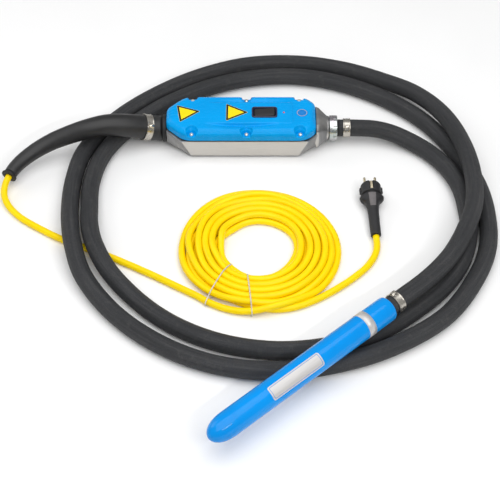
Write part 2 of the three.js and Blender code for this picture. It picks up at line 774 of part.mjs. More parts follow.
place(
  "rear_collar",
  alongX(ring(GLAND_RADIUS + GAP, COLLAR_RADIUS, collarStart, collarStart + COLLAR_LENGTH, FINE), -1),
  RUBBER,
);
place(
  "cable_gland",
  alongX(
    turned([
      [GLAND_BORE, -REAR_FACE_X - SHELL_WALL - GAP - 4],
      [GLAND_RADIUS + 3, -REAR_FACE_X - SHELL_WALL - GAP - 4],
      [GLAND_RADIUS + 3, -REAR_FACE_X - SHELL_WALL - GAP],
      [GLAND_RADIUS, -REAR_FACE_X - SHELL_WALL - GAP],
      [GLAND_RADIUS, -REAR_FACE_X + GLAND_REACH],
      [GLAND_BORE, -REAR_FACE_X + GLAND_REACH],
      [GLAND_BORE, -REAR_FACE_X - SHELL_WALL - GAP - 4],
    ]),
    -1,
  ),
  BRASS,
);

const sleeveEnd = sleeveStart + SLEEVE_LENGTH;
const sleeveTaper = (share) =>
  THREE.MathUtils.lerp(SLEEVE_RADIUS, SLEEVE_TIP_RADIUS, Math.max(share - 0.1, 0) / 0.9);
const boreTaper = (share) => THREE.MathUtils.lerp(SLEEVE_BORE, SLEEVE_TIP_BORE, Math.min(share * 1.6, 1));
place(
  "bend_protection_sleeve",
  cut(
    loft(taperedRings(MAINS_ROUTE, sleeveStart, sleeveEnd, SLEEVE_STEPS, sleeveTaper, 14)),
    loft(taperedRings(MAINS_ROUTE, sleeveStart - 1, sleeveEnd + 1, SLEEVE_STEPS, boreTaper, SMALL)),
  ),
  RUBBER,
);

const mainsCurve = route(MAINS_ROUTE);
const mainsLength = mainsCurve.getLength();
const alongMains = (distance) => ({
  at: mainsCurve.getPointAt(distance / mainsLength).toArray(),
  direction: mainsCurve.getTangentAt(distance / mainsLength).toArray(),
});

const clampPlace = alongMains(sleeveStart + SLEEVE_CLAMP_SETBACK + CLAMP_WIDTH / 2);
const rearClamp = place(
  "sleeve_clamp",
  bandClamp(SLEEVE_RADIUS + GAP, CLAMP_EAR_ANGLES.sleeve).translate(0, 0, -CLAMP_WIDTH / 2),
  STAINLESS,
);
aim(rearClamp, clampPlace.at, clampPlace.direction);

const tipPlace = alongMains(sleeveEnd + GAP);
const grommet = place(
  "sleeve_grommet",
  turned([
    [SLEEVE_TIP_BORE, 0],
    [GROMMET_RADIUS - 1.5, 0],
    [GROMMET_RADIUS, 2],
    [GROMMET_RADIUS, GROMMET_LENGTH - 2],
    [GROMMET_RADIUS - 1.5, GROMMET_LENGTH],
    [SLEEVE_TIP_BORE, GROMMET_LENGTH],
    [SLEEVE_TIP_BORE, 0],
  ]),
  SEAL,
);
aim(grommet, tipPlace.at, tipPlace.direction);

const mainsSteps = Math.round(mainsLength / CABLE_STEP);
place("mains_cable", cord(MAINS_ROUTE, CABLE_RADIUS, mainsSteps, SMALL), YELLOW);

// Both side faces of the ring stand on the floor of its outer turns and slope up to the upper layer.
const coilFloor = GAP;
const coilShoulder = CABLE_RADIUS * 2;
const coilTopInner = COIL_INNER_RADIUS + CABLE_RADIUS * 1.5;
const coilTopOuter = COIL_OUTER_RADIUS - CABLE_RADIUS;
place(
  "cable_coil",
  turned(
    [
      [COIL_INNER_RADIUS + CABLE_RADIUS / 2, coilFloor],
      [COIL_OUTER_RADIUS - CABLE_RADIUS / 2, coilFloor],
      [COIL_OUTER_RADIUS, coilFloor + CABLE_RADIUS / 2],
      [COIL_OUTER_RADIUS, coilFloor + coilShoulder],
      [coilTopOuter, coilFloor + COIL_HEIGHT],
      [coilTopInner, coilFloor + COIL_HEIGHT],
      [COIL_INNER_RADIUS, coilFloor + coilShoulder],
      [COIL_INNER_RADIUS, coilFloor + CABLE_RADIUS / 2],
      [COIL_INNER_RADIUS + CABLE_RADIUS / 2, coilFloor],
    ],
    30,
  ),
  YELLOW,
).position.set(...COIL_CENTRE, 0);

// Thin ties across the top of the coil, from its inner side to its outer side.
TIE_ANGLES.forEach((degrees, i) => {
  const foot = CABLE_RADIUS / 2 + 1;
  const clear = TIE_THICKNESS;
  const path = [
    { at: [COIL_INNER_RADIUS - clear, foot], out: [-1, 0] },
    { at: [COIL_INNER_RADIUS - clear, coilShoulder], out: [-1, 0.4] },
    { at: [coilTopInner - clear / 2, COIL_HEIGHT + clear], out: [-0.4, 1] },
    { at: [coilTopOuter + clear / 2, COIL_HEIGHT + clear], out: [0.4, 1] },
    { at: [COIL_OUTER_RADIUS + clear, coilShoulder], out: [1, 0.4] },
    { at: [COIL_OUTER_RADIUS + clear, foot], out: [1, 0] },
  ];
  const near = path.map(({ at }) => new THREE.Vector2(...at));
  const far = path.map(({ at, out }) =>
    new THREE.Vector2(...at).addScaledVector(new THREE.Vector2(...out), clear),
  );
  const strap = new THREE.ExtrudeGeometry(new THREE.Shape([...near, ...far.reverse()]), {
    depth: TIE_WIDTH,
    bevelEnabled: false,
  });
  const tie = place(
    `coil_tie_${i + 1}`,
    strap.rotateX(Math.PI / 2).translate(0, TIE_WIDTH / 2, 0),
    WHITE_CORD,
  );
  tie.position.set(...COIL_CENTRE, coilFloor);
  tie.rotation.z = (degrees * Math.PI) / 180;
});

const plugRouteLength = route(PLUG_ROUTE).getLength();
place(
  "plug_cable",
  cord(PLUG_ROUTE, CABLE_RADIUS, Math.round(plugRouteLength / CABLE_STEP), SMALL),
  YELLOW,
);

// ---------------------------------------------------------------- plug
const plug = new THREE.Group();
aim(plug, PLUG_END, PLUG_AIM);
root.add(plug);

const faceLength = 23;
const faceStart = PLUG_LENGTH - faceLength;

function plugBody() {
  const moulding = turned([
    [0, GAP],
    [BOOT_RADIUS, GAP],
    [BOOT_RADIUS + 0.8, 8],
    [BOOT_RADIUS + 0.4, 50],
    [BOOT_RADIUS + 3, 66],
    [BOOT_RADIUS + 7, faceStart - 10],
    [PLUG_BODY_RADIUS, faceStart],
    [PLUG_BODY_RADIUS, PLUG_LENGTH - 1.5],
    [PLUG_BODY_RADIUS - 1.5, PLUG_LENGTH],
    [0, PLUG_LENGTH],
  ]);
  const wings = rod(PLUG_FLANGE_RADIUS, faceStart - 9, faceStart).scale(1, 0.72, 1);
  const grooves = [-1, 1].map((side) =>
    block(EARTH_WIDTH + 2, 5, faceLength, [
      0,
      side * (PLUG_BODY_RADIUS - 0.5),
      PLUG_LENGTH - faceLength / 2 + 4,
    ]),
  );
  const pinHoles = [-1, 1].map((side) =>
    rod(PIN_RADIUS + GAP, PLUG_LENGTH - 14, PLUG_LENGTH + 1, 12).translate((side * PIN_SPACING) / 2, 0, 0),
  );
  return cut(join(moulding, wings), ...grooves, ...pinHoles);
}
place("plug_body", plugBody(), RUBBER, plug);
[-1, 1].forEach((side, i) => {
  const pin = turned(
    [
      [0, PLUG_LENGTH - 14 + GAP],
      [PIN_RADIUS, PLUG_LENGTH - 14 + GAP],
      [PIN_RADIUS, PLUG_LENGTH + PIN_LENGTH - 1.2],
      [PIN_RADIUS * 0.6, PLUG_LENGTH + PIN_LENGTH],
      [0, PLUG_LENGTH + PIN_LENGTH],
    ],
    12,
  );
  place(`plug_pin_${i + 1}`, pin, BRASS, plug).position.set((side * PIN_SPACING) / 2, 0, 0);
  const clip = block(EARTH_WIDTH, 1.2, faceLength - 10, [
    0,
    side * (PLUG_BODY_RADIUS - 2.1),
    PLUG_LENGTH - (faceLength - 10) / 2 - 1,
  ]);
  place(`earth_clip_${i + 1}`, clip, BRASS, plug);
});

// ---------------------------------------------------------------- poker head
const head = new THREE.Group();
const headDirection = [
  Math.cos((HEAD_HEADING * Math.PI) / 180),
  Math.sin((HEAD_HEADING * Math.PI) / 180),
  0,
];
aim(head, HEAD_REAR, headDirection);
root.add(head);

const headBore = HEAD_RADIUS - HEAD_WALL;
const headFit = headBore - GAP;
const noseSeam = HEAD_LENGTH - NOSE_LENGTH;

place(
  "head_tube",
  turned(
    [
      [headBore, 0],
      [HEAD_RADIUS - 2.5, 0],
      [HEAD_RADIUS, 4],
      [HEAD_RADIUS, noseSeam - GAP],
      [headBore, noseSeam - GAP],
      [headBore, 0],
    ],
    FINE,
  ),
  BLUE_PAINT,
  head,
);

// The nose is a pointed arch turned about the axis, with a spigot in the tube.
function noseProfile() {
  const points = [
    [0, noseSeam - NOSE_SPIGOT],
    [headFit, noseSeam - NOSE_SPIGOT],
    [headFit, noseSeam - NOSE_SPIGOT / 2 - GROOVE_WIDTH],
    [headFit - GROOVE_DEPTH, noseSeam - NOSE_SPIGOT / 2 - GROOVE_WIDTH],
    [headFit - GROOVE_DEPTH, noseSeam - NOSE_SPIGOT / 2],
    [headFit, noseSeam - NOSE_SPIGOT / 2],
    [headFit, noseSeam],
    [HEAD_RADIUS, noseSeam],
    [HEAD_RADIUS, noseSeam + 8],
  ];
  const archLength = NOSE_LENGTH - 8;
  for (let k = 1; k < 6; k++) {
    const share = k / 6;
    const radius = HEAD_RADIUS * Math.sqrt(1 - share ** 2.4) * (1 - 0.06 * share);
    points.push([radius, noseSeam + 8 + archLength * share]);
  }
  points.push([0, HEAD_LENGTH]);
  return points;
}
place("head_nose", turned(noseProfile(), FINE), BLUE_PAINT, head);

const closureStart = 2;
function closureProfile() {
  const middle = closureStart + CLOSURE_LENGTH / 2;
  return [
    [NIPPLE_BORE, -NIPPLE_REACH],
    [NIPPLE_RADIUS, -NIPPLE_REACH],
    [NIPPLE_RADIUS, closureStart],
    [headFit, closureStart],
    [headFit, middle],
    [headFit - GROOVE_DEPTH, middle],
    [headFit - GROOVE_DEPTH, middle + GROOVE_WIDTH],
    [headFit, middle + GROOVE_WIDTH],
    [headFit, closureStart + CLOSURE_LENGTH],
    [NIPPLE_BORE, closureStart + CLOSURE_LENGTH],
    [NIPPLE_BORE, -NIPPLE_REACH],
  ];
}
place("rear_closure", turned(closureProfile()), STEEL, head);

const sealRadius = headFit - GROOVE_DEPTH / 2;
const sealHeights = {
  rear_seal: closureStart + CLOSURE_LENGTH / 2 + GROOVE_WIDTH / 2,
  nose_seal: noseSeam - NOSE_SPIGOT / 2 - GROOVE_WIDTH / 2,
};
Object.entries(sealHeights).forEach(([name, height]) => {
  place(name, new THREE.TorusGeometry(sealRadius, RING_RADIUS, 6, ROUND), SEAL, head).position.z = height;
});

const headClamp = bandClamp(HOSE_RADIUS, CLAMP_EAR_ANGLES.head);
place("head_hose_clamp", headClamp, STAINLESS, head).position.z = -CLAMP_SETBACK - CLAMP_WIDTH;

// A label wrapped round the tube: an arc of foil, from one angle to another.
function wrappedLabel(from, length, startDegrees, endDegrees, steps) {
  const inner = HEAD_RADIUS + GAP;
  const outer = inner + LABEL_THICKNESS;
  const angles = Array.from(
    { length: steps + 1 },
    (_, k) => ((startDegrees + ((endDegrees - startDegrees) * k) / steps) * Math.PI) / 180,
  );
  const edge = (radius) =>
    angles.map((angle) => new THREE.Vector2(radius * Math.cos(angle), radius * Math.sin(angle)));
  const outline = new THREE.Shape([...edge(outer), ...edge(inner).reverse()]);
  return new THREE.ExtrudeGeometry(outline, { depth: length, bevelEnabled: false }).translate(0, 0, from);
}
place(
  "head_plate",
  wrappedLabel(
    PLATE_START,
    PLATE_LENGTH,
    PLATE_ANGLE - PLATE_HALF_ANGLE,
    PLATE_ANGLE + PLATE_HALF_ANGLE,
    10,
  ),
  SILVER_FOIL,
  head,
);
place("head_band", wrappedLabel(BAND_START, BAND_LENGTH, 0, 340, 30), SILVER_FOIL, head);

// ---------------------------------------------------------------- motor in the head
const statorEnd = STATOR_START + STATOR_LENGTH;
const bearingStarts = [
  statorEnd + GAP + WINDING_LENGTH + BEARING_CLEARANCE,
  noseSeam - NOSE_SPIGOT - BEARING_CLEARANCE - BEARING_WIDTH,
];
place("stator_core", ring(STATOR_BORE, headFit, STATOR_START, statorEnd), STEEL, head);
const windings = {
  stator_winding_rear: STATOR_START - GAP - WINDING_LENGTH,
  stator_winding_front: statorEnd + GAP,
};
Object.entries(windings).forEach(([name, start]) => {
  const end = start + WINDING_LENGTH;
  const profile = [
    [STATOR_BORE + 0.6, start + 2],
    [STATOR_BORE + 2, start],
    [headFit - 2, start],
    [headFit - 1, start + 2],
    [headFit - 1, end - 2],
    [headFit - 2, end],
    [STATOR_BORE + 2, end],
    [STATOR_BORE + 0.6, end - 2],
    [STATOR_BORE + 0.6, start + 2],
  ];
  place(name, turned(profile), COPPER, head);
});

// The shaft carries the rotor behind its first bearing and a half-round weight between the two.
function eccentricShaft() {
  const front = bearingStarts[1];
  const weightStart = bearingStarts[0] + BEARING_WIDTH + BEARING_CLEARANCE;
  const weightEnd = front - BEARING_CLEARANCE;
  const weight = cut(
    rod(ECCENTRIC_RADIUS, weightStart, weightEnd),
    block(60, 60, 400, [0, 30 + SHAFT_RADIUS * 0.4, weightStart]),
  );
  return join(rod(SHAFT_RADIUS, STATOR_START - 2, front + BEARING_WIDTH + 1), weight);
}
place("eccentric_shaft", eccentricShaft(), STEEL, head);
place(
  "rotor_core",
  ring(SHAFT_RADIUS + GAP, STATOR_BORE - ROTOR_GAP, STATOR_START + 1, statorEnd - 1),
  STEEL,
  head,
);

function rollerCage(start) {
  const low = RACE_INNER + RUNNING_GAP;
  const high = RACE_OUTER - RUNNING_GAP;
  const middle = (low + high) / 2;
  const rollers = Array.from({ length: ROLLER_COUNT }, (_, k) => {
    const angle = (k * 2 * Math.PI) / ROLLER_COUNT;
    return rod((high - low) / 2, start + 1.5, start + BEARING_WIDTH - 1.5, SMALL).translate(
      middle * Math.cos(angle),
      middle * Math.sin(angle),
      0,
    );
  });
  return join(ring(middle - 1, middle + 1, start + 1, start + BEARING_WIDTH - 1), ...rollers);
}

["rear", "front"].forEach((name, i) => {
  const start = bearingStarts[i];
  const end = start + BEARING_WIDTH;
  place(`${name}_bearing_outer`, ring(RACE_OUTER, headFit, start, end, FINE), STEEL, head);
  place(`${name}_bearing_inner`, ring(SHAFT_RADIUS + GAP, RACE_INNER, start, end, FINE), STEEL, head);
  place(`${name}_roller_cage`, rollerCage(start), BRASS, head);
});

export default root;
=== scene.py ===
"""The looks of a concrete vibrator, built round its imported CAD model. Metres, +Z up."""

import json
import math

import bmesh
import bpy
import numpy as np
from mathutils import Matrix, Vector
from mathutils.bvhtree import BVHTree

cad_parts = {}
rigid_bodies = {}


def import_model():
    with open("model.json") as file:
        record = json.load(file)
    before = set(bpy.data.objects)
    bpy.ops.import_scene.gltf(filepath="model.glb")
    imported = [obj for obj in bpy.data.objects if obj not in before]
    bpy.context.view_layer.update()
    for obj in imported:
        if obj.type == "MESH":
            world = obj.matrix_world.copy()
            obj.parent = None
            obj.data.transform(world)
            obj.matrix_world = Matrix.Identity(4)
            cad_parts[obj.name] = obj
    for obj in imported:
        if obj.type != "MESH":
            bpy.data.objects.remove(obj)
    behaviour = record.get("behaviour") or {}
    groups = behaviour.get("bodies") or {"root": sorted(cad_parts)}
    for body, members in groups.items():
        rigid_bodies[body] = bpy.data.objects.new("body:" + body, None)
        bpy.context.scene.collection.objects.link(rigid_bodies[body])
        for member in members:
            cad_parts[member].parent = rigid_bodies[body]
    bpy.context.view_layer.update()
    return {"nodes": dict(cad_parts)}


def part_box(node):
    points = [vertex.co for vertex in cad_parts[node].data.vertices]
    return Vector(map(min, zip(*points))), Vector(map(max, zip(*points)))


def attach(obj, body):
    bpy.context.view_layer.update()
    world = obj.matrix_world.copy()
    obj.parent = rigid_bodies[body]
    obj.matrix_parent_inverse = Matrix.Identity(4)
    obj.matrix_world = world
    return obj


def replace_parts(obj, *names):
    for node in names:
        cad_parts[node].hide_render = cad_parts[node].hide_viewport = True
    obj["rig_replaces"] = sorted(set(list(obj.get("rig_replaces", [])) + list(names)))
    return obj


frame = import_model()
MM = 0.001
WELD = 1e-6
rng = np.random.default_rng(7)

# ---------------- camera
CAMERA_PLACE = (0.0046, -1.802, 1.690)
CAMERA_PITCH = 48.0  # degrees below the horizon
CAMERA_LENS = 93.6

camera_data = bpy.data.cameras.new("camera")
camera_data.lens = CAMERA_LENS
camera = bpy.data.objects.new("camera", camera_data)
camera.location = CAMERA_PLACE
camera.rotation_euler = (math.radians(90 - CAMERA_PITCH), 0, 0)
bpy.context.scene.collection.objects.link(camera)
bpy.context.scene.camera = camera
bpy.context.scene.view_settings.view_transform = "Standard"

# ---------------- routes, in millimetres
HOSE_ROUTE = [
    (168.6, 0, 31), (204, 0, 31), (239, -2, 30), (271, -10, 26.6), (308, -28, 19.9), (338, -53, 17.2),
    (365.5, -92, 16.7), (384, -141, 16.7), (390, -194, 16.7), (389, -249, 16.7), (372, -314, 16.7),
    (339, -370, 16.7), (290, -421, 16.7), (211, -478, 16.7), (128, -507, 16.7), (37, -514, 16.7),
    (-60, -493, 16.7), (-150, -441, 16.7), (-230, -357, 22.5), (-263, -297.5, 30.9), (-276, -249, 28.8),
    (-281, -199, 20.7), (-283.5, -134, 16.9), (-270, -64, 16.7), (-233, 3, 16.7), (-163, 76, 16.7),
    (-74, 132, 16.7), (10, 159, 16.7), (95, 164, 16.7), (180, 144, 16.7), (262, 100, 16.7),
    (332, 37, 16.7), (385, -49, 16.7), (417, -134, 16.7), (425, -219, 16.7), (416, -294, 16.7),
    (386, -364, 16.7), (330, -442, 16.7), (240, -504, 16.7), (150, -539, 16.7), (50, -555, 16.7),
    (-50, -543, 16.7), (-140, -503, 16.7), (-221, -437, 16.9), (-279, -358, 22.5), (-301, -294, 30.2),
    (-309.8, -249, 29.8), (-315.8, -199, 21.5), (-316.3, -124, 16.9), (-301, -44, 16.7), (-245, 44, 16.7),
    (-171, 114, 16.7), (-90, 166, 16.7), (0, 199, 16.7), (100, 204, 16.7), (190, 185, 16.7),
    (265, 147, 20), (324, 91, 35), (370, 14, 47), (397, -74, 49.4), (404, -154, 49.4),
    (397, -219, 49.2), (375, -279, 48.5), (347, -332, 48.5), (317, -374, 52.8), (288, -405.6, 55.3),
    (261.3, -429.1, 55.3), (230.1, -456.5, 55.3),
]
MAINS_ROUTE = [
    (-138, 0, 31), (-162, 0, 31), (-182, -2, 33.8), (-203, -8.5, 42.5), (-228, -16.5, 53),
    (-260, -24, 60), (-292, -33, 59.5), (-327, -40, 51.5), (-362, -51, 42.5), (-396, -71, 33.5),
    (-423, -99, 26.5), (-437, -129, 20.5), (-440, -151, 14), (-433, -174, 8.8), (-409, -204, 6.5),
    (-363, -238, 6.4), (-325, -261, 6.4), (-283, -281, 6.4), (-238, -302, 6.4), (-167, -341, 6.4),
    (-122, -368, 6.4), (-85.5, -390, 6.4),
]
PLUG_ROUTE = [
    (98, -408, 6.4), (124, -394, 6.4), (153, -374, 6.4), (182, -350, 6.4), (206, -325, 6.4),
    (220, -302, 6.6), (226.4, -280, 7.4), (226.02, -256.6, 9.54),
]
PLUG_END = (226, -256, 9.6)
PLUG_AIM = (-4.5, 134, 13)
HOSE_RADIUS = 16 * MM
CABLE_RADIUS = 6 * MM
SLEEVE_START = 21.5 * MM  # along the lead, from its end in the housing
SLEEVE_LENGTH = 314 * MM
SLEEVE_RADIUS = 23 * MM
SLEEVE_TIP_RADIUS = 12 * MM


# ---------------- nodes of a material
SHADER_INPUTS = {
    "colour": "Base Color",
    "metal": "Metallic",
    "rough": "Roughness",
    "normal": "Normal",
    "specular": "Specular IOR Level",
    "coat": "Coat Weight",
    "coat_rough": "Coat Roughness",
}


class Graph:
    """A material's node tree, with short calls for the nodes that the looks below need."""

    def __init__(self, name):
        self.material = bpy.data.materials.new(name)
        self.material.use_nodes = True
        self.tree = self.material.node_tree
        self.tree.nodes.clear()
        self.shader = self.tree.nodes.new("ShaderNodeBsdfPrincipled")
        self.node("OutputMaterial", {0: self.shader.outputs[0]}, None)
        self.coordinates = self.tree.nodes.new("ShaderNodeTexCoord")

    def put(self, socket, value):
        if isinstance(value, bpy.types.NodeSocket):
            self.tree.links.new(value, socket)
        else:
            socket.default_value = value

    def node(self, kind, inputs, output=0, **settings):
        """A new node with its settings made and its inputs linked or set; gives one of its outputs."""
        node = self.tree.nodes.new("ShaderNode" + kind)
        for key, value in settings.items():
            setattr(node, key, value)
        for key, value in inputs.items():
            self.put(node.inputs[key], value)
        return None if output is None else node.outputs[output]

    def set(self, **values):
        """Links or sets the shader's inputs, and gives the finished material."""
        for key, value in values.items():
            self.put(self.shader.inputs[SHADER_INPUTS[key]], value)
        return self.material

    def where(self, stretch=(1, 1, 1), turn=(0, 0, 0), kind="Object"):
        place = self.coordinates.outputs[kind]
        return self.node("Mapping", {"Vector": place, "Scale": stretch, "Rotation": turn})

    def noise(self, scale, detail=4, rough=0.5, vector=None):
        inputs = {"Scale": scale, "Detail": detail, "Roughness": rough, "Vector": vector or self.where()}
        return self.node("TexNoise", inputs)

    def cells(self, scale, feature="F1"):
        inputs = {"Scale": scale, "Vector": self.where()}
        return self.node("TexVoronoi", inputs, "Distance", feature=feature)

    def waves(self, scale, vector, distort=0.0):
        inputs = {"Scale": scale, "Distortion": distort, "Detail Scale": 1.0, "Vector": vector}
        return self.node("TexWave", inputs, "Fac")

    def ramp(self, value, *stops):
        node = self.tree.nodes.new("ShaderNodeValToRGB")
        elements = node.color_ramp.elements
        while len(elements) < len(stops):
            elements.new(0.5)
        for element, (place, colour) in zip(elements, stops):
            element.position, element.color = place, (*colour, 1)
        self.put(node.inputs[0], value)
        return node.outputs[0]

    def spread(self, value, low, high, start=0.3, end=0.7):
        """A value from low to high as the input goes from start to end."""
        inputs = {"Value": value, "From Min": start, "From Max": end, "To Min": low, "To Max": high}
        return self.node("MapRange", inputs)

    def math(self, kind, a, b=0.0):
        return self.node("Math", {0: a, 1: b}, operation=kind)

    def mix(self, share, a, b):
        a, b = ((*value, 1) if isinstance(value, tuple) else value for value in (a, b))
        return self.node("Mix", {"Factor": share, 6: a, 7: b}, 2, data_type="RGBA")

    def bump(self, height, distance, strength=1.0, onto=None):
        inputs = {"Strength": strength, "Distance": distance, "Height": height}
        if onto is not None:
            inputs["Normal"] = onto
        return self.node("Bump", inputs)

    def part(self, vector, axis):
        return self.node("SeparateXYZ", {0: vector}, "XYZ".index(axis))


# ---------------- materials
def hose_rubber():
    """Cloth-wrapped rubber: long streaks along the hose, bumped as wraps and lighter in colour as a painted
    sheen, a crossed weave, and dust in the dull places.
    """
    g = Graph("hose_rubber")
    streaks_and_sheen = g.noise(5, 6, 0.65, g.where((3.2, 1.3, 1), kind="UV"))
    cloth = g.noise(1, 3, 0.7, g.where((46, 420, 1), kind="UV"))
    dust = g.noise(90, 6, 0.75)
    weave = g.math(
        "MULTIPLY",
        g.waves(1, g.where((34, 330, 1), (0, 0, 0.72), "UV"), 1.2),
        g.waves(1, g.where((34, 330, 1), (0, 0, -0.72), "UV"), 1.2),
    )
    # the streaks run from dark to lighter tones: the lighter ones are a painted sheen along the hose
    tones = (0.3, (0.018, 0.019, 0.021)), (0.52, (0.034, 0.035, 0.038)), (0.72, (0.060, 0.060, 0.062))
    base = g.ramp(streaks_and_sheen, *tones)
    woven = g.mix(g.spread(cloth, 0, 0.55, 0.42, 0.7), base, (0.013, 0.014, 0.016))
    dusty = g.mix(g.spread(dust, 0, 0.5, 0.52, 0.76), woven, (0.10, 0.097, 0.092))
    soft = g.bump(streaks_and_sheen, 0.0012, 0.6, g.bump(cloth, 0.0008, 0.7, g.bump(weave, 0.0005, 0.6)))
    return g.set(colour=dusty, rough=g.spread(dust, 0.5, 0.8), specular=0.4, normal=soft)


def moulded_rubber(name, dark, light, rough):
    g = Graph(name)
    cloud = g.noise(34, 5, 0.6)
    fine = g.noise(1300, 3, 0.5)
    return g.set(
        colour=g.ramp(cloud, (0.3, dark), (0.75, light)),
        rough=g.spread(cloud, rough, rough + 0.15),
        specular=0.45,
        normal=g.bump(fine, 0.0001, 0.5, g.bump(cloud, 0.0004, 0.25)),
    )


def cable_sheath():
    g = Graph("cable_sheath")
    tone = g.noise(4, 4, 0.5, g.where((1.5, 5, 1), kind="UV"))
    scuff = g.noise(120, 6, 0.75)
    base = g.ramp(tone, (0.3, (0.98, 0.66, 0.0)), (0.7, (1.0, 0.76, 0.0)))
    marked = g.mix(g.spread(scuff, 0, 0.22, 0.68, 0.86), base, (0.62, 0.42, 0.02))
    return g.set(
        colour=marked,
        rough=g.spread(tone, 0.3, 0.42),
        specular=0.22,
        normal=g.bump(g.noise(1500, 2), 0.00005, 0.3),
    )


def glossy_blue(name, deep, bright, rough, peel, specular):
    """Blue plastic or enamel, with the slight orange peel and the fine scuffs of use."""
    g = Graph(name)
    tone = g.noise(16, 3, 0.5)
    skin = g.noise(420, 2, 0.4)
    scuff = g.noise(70, 8, 0.8, g.where((1, 3, 1)))
    base = g.ramp(tone, (0.3, deep), (0.7, bright))
    worn = g.mix(g.spread(scuff, 0, 0.16, 0.68, 0.84), base, tuple(0.6 * c + 0.2 for c in bright))
    return g.set(
        colour=worn,
        rough=g.spread(scuff, rough, rough + 0.1, 0.4, 0.8),
        specular=specular,
        normal=g.bump(skin, peel, 0.25),
    )


def cast_aluminium():
    g = Graph("cast_aluminium")
    face = g.tree.nodes.new("ShaderNodeNewGeometry").outputs["Normal"]
    sideways = g.math("ABSOLUTE", g.part(face, "Y"))
    ground = g.spread(sideways, 0, 1, 0.86, 0.97)
    lines = g.noise(10, 5, 0.7, g.where((3, 30, 90)))
    blast = g.noise(620, 4, 0.7)
    cloud = g.noise(22, 5, 0.6)
    runs = g.noise(26, 4, 0.6, g.where((1, 1, 0.12)))
    cast = g.mix(g.spread(runs, 0, 1, 0.35, 0.65), (0.20, 0.20, 0.205), (0.40, 0.395, 0.385))
    brushed = g.mix(lines, (0.48, 0.455, 0.42), (0.72, 0.70, 0.665))
    return g.set(
        colour=g.mix(ground, cast, brushed),
        metal=0.85,
        rough=g.spread(lines, 0.36, 0.5),
        normal=g.bump(lines, 0.0002, 0.35, g.bump(blast, 0.0003, 0.5, g.bump(cloud, 0.0012, 0.25))),
    )


def metal(name, dark, light, rough, turned=0.0, tint=None):
    """A bright metal with a clouded finish, fine marks of turning or rolling, and perhaps a tint."""
    g = Graph(name)
    cloud = g.noise(60, 5, 0.65)
    lines = g.noise(40, 4, 0.7, g.where((30, 1, 1)))
    base = g.mix(cloud, dark, light)
    if tint:
        base = g.mix(g.spread(g.noise(45, 2, 0.4), 0, 0.55, 0.4, 0.62), base, tint)
    return g.set(
        colour=base,
        metal=1.0,
        rough=g.spread(cloud, rough, rough + 0.16),
        normal=g.bump(lines, 0.0001, 0.3 + turned, g.bump(g.noise(700, 3), 0.00008, 0.3)),
    )


def black_plastic(name, tone, rough):
    g = Graph(name)
    grain = g.cells(1500)
    cloud = g.noise(50, 4)
    return g.set(
        colour=g.ramp(cloud, (0.3, tone), (0.7, tuple(c * 1.5 for c in tone))),
        rough=g.spread(cloud, rough, rough + 0.12),
        specular=0.4,
        normal=g.bump(grain, 0.0001, 0.5),
    )


def foil():
    g = Graph("foil")
    lines = g.noise(30, 4, 0.7, g.where((1, 1, 40)))
    return g.set(
        colour=g.mix(lines, (0.52, 0.505, 0.50), (0.66, 0.645, 0.635)),
        metal=0.35,
        rough=g.spread(lines, 0.32, 0.5),
        normal=g.bump(g.noise(900, 3), 0.00006, 0.4),
    )


def film(name, tone, other):
    """Printed film, slightly uneven in its ink."""
    g = Graph(name)
    ink = g.noise(240, 5, 0.7)
    return g.set(
        colour=g.ramp(ink, (0.3, tone), (0.8, other)),
        rough=g.spread(ink, 0.3, 0.45),
        specular=0.35,
        normal=g.bump(ink, 0.00005, 0.4),
    )


def lens_red():
    g = Graph("lens_red")
    cloud = g.noise(900, 2)
    return g.set(
        colour=g.ramp(cloud, (0.2, (0.45, 0.005, 0.02)), (0.8, (0.8, 0.03, 0.05))),
        rough=g.spread(cloud, 0.08, 0.2),
        coat=0.6,
        coat_rough=0.05,
    )


def twisted_cord():
    g = Graph("twisted_cord")
    lay = g.waves(1, g.where((6.28, 900, 1), kind="UV"))
    # the cord is darker in the grooves of its lay: painted shade
    return g.set(
        colour=g.mix(lay, (0.84, 0.81, 0.77), (0.97, 0.95, 0.92)),
        rough=g.spread(lay, 0.7, 0.9),
        normal=g.bump(lay, 0.0004, 0.8),
    )


def board_mask():
    g = Graph("board_mask")
    tracks = g.cells(260, feature="DISTANCE_TO_EDGE")
    return g.set(
        colour=g.ramp(tracks, (0.0, (0.10, 0.32, 0.12)), (0.12, (0.015, 0.13, 0.045))),
        rough=g.spread(tracks, 0.25, 0.45, 0, 0.4),
        normal=g.bump(tracks, 0.0001, 0.5),
    )


def enamelled_wire():
    g = Graph("enamelled_wire")
    wires = g.waves(1, g.where((1300, 1300, 300)), 2.0)
    # darker in the low bands between the wires: painted shade
    return g.set(
        colour=g.mix(wires, (0.32, 0.10, 0.03), (0.78, 0.36, 0.15)),
        metal=0.9,
        rough=g.spread(wires, 0.25, 0.4),
        normal=g.bump(wires, 0.0004, 0.7),
    )


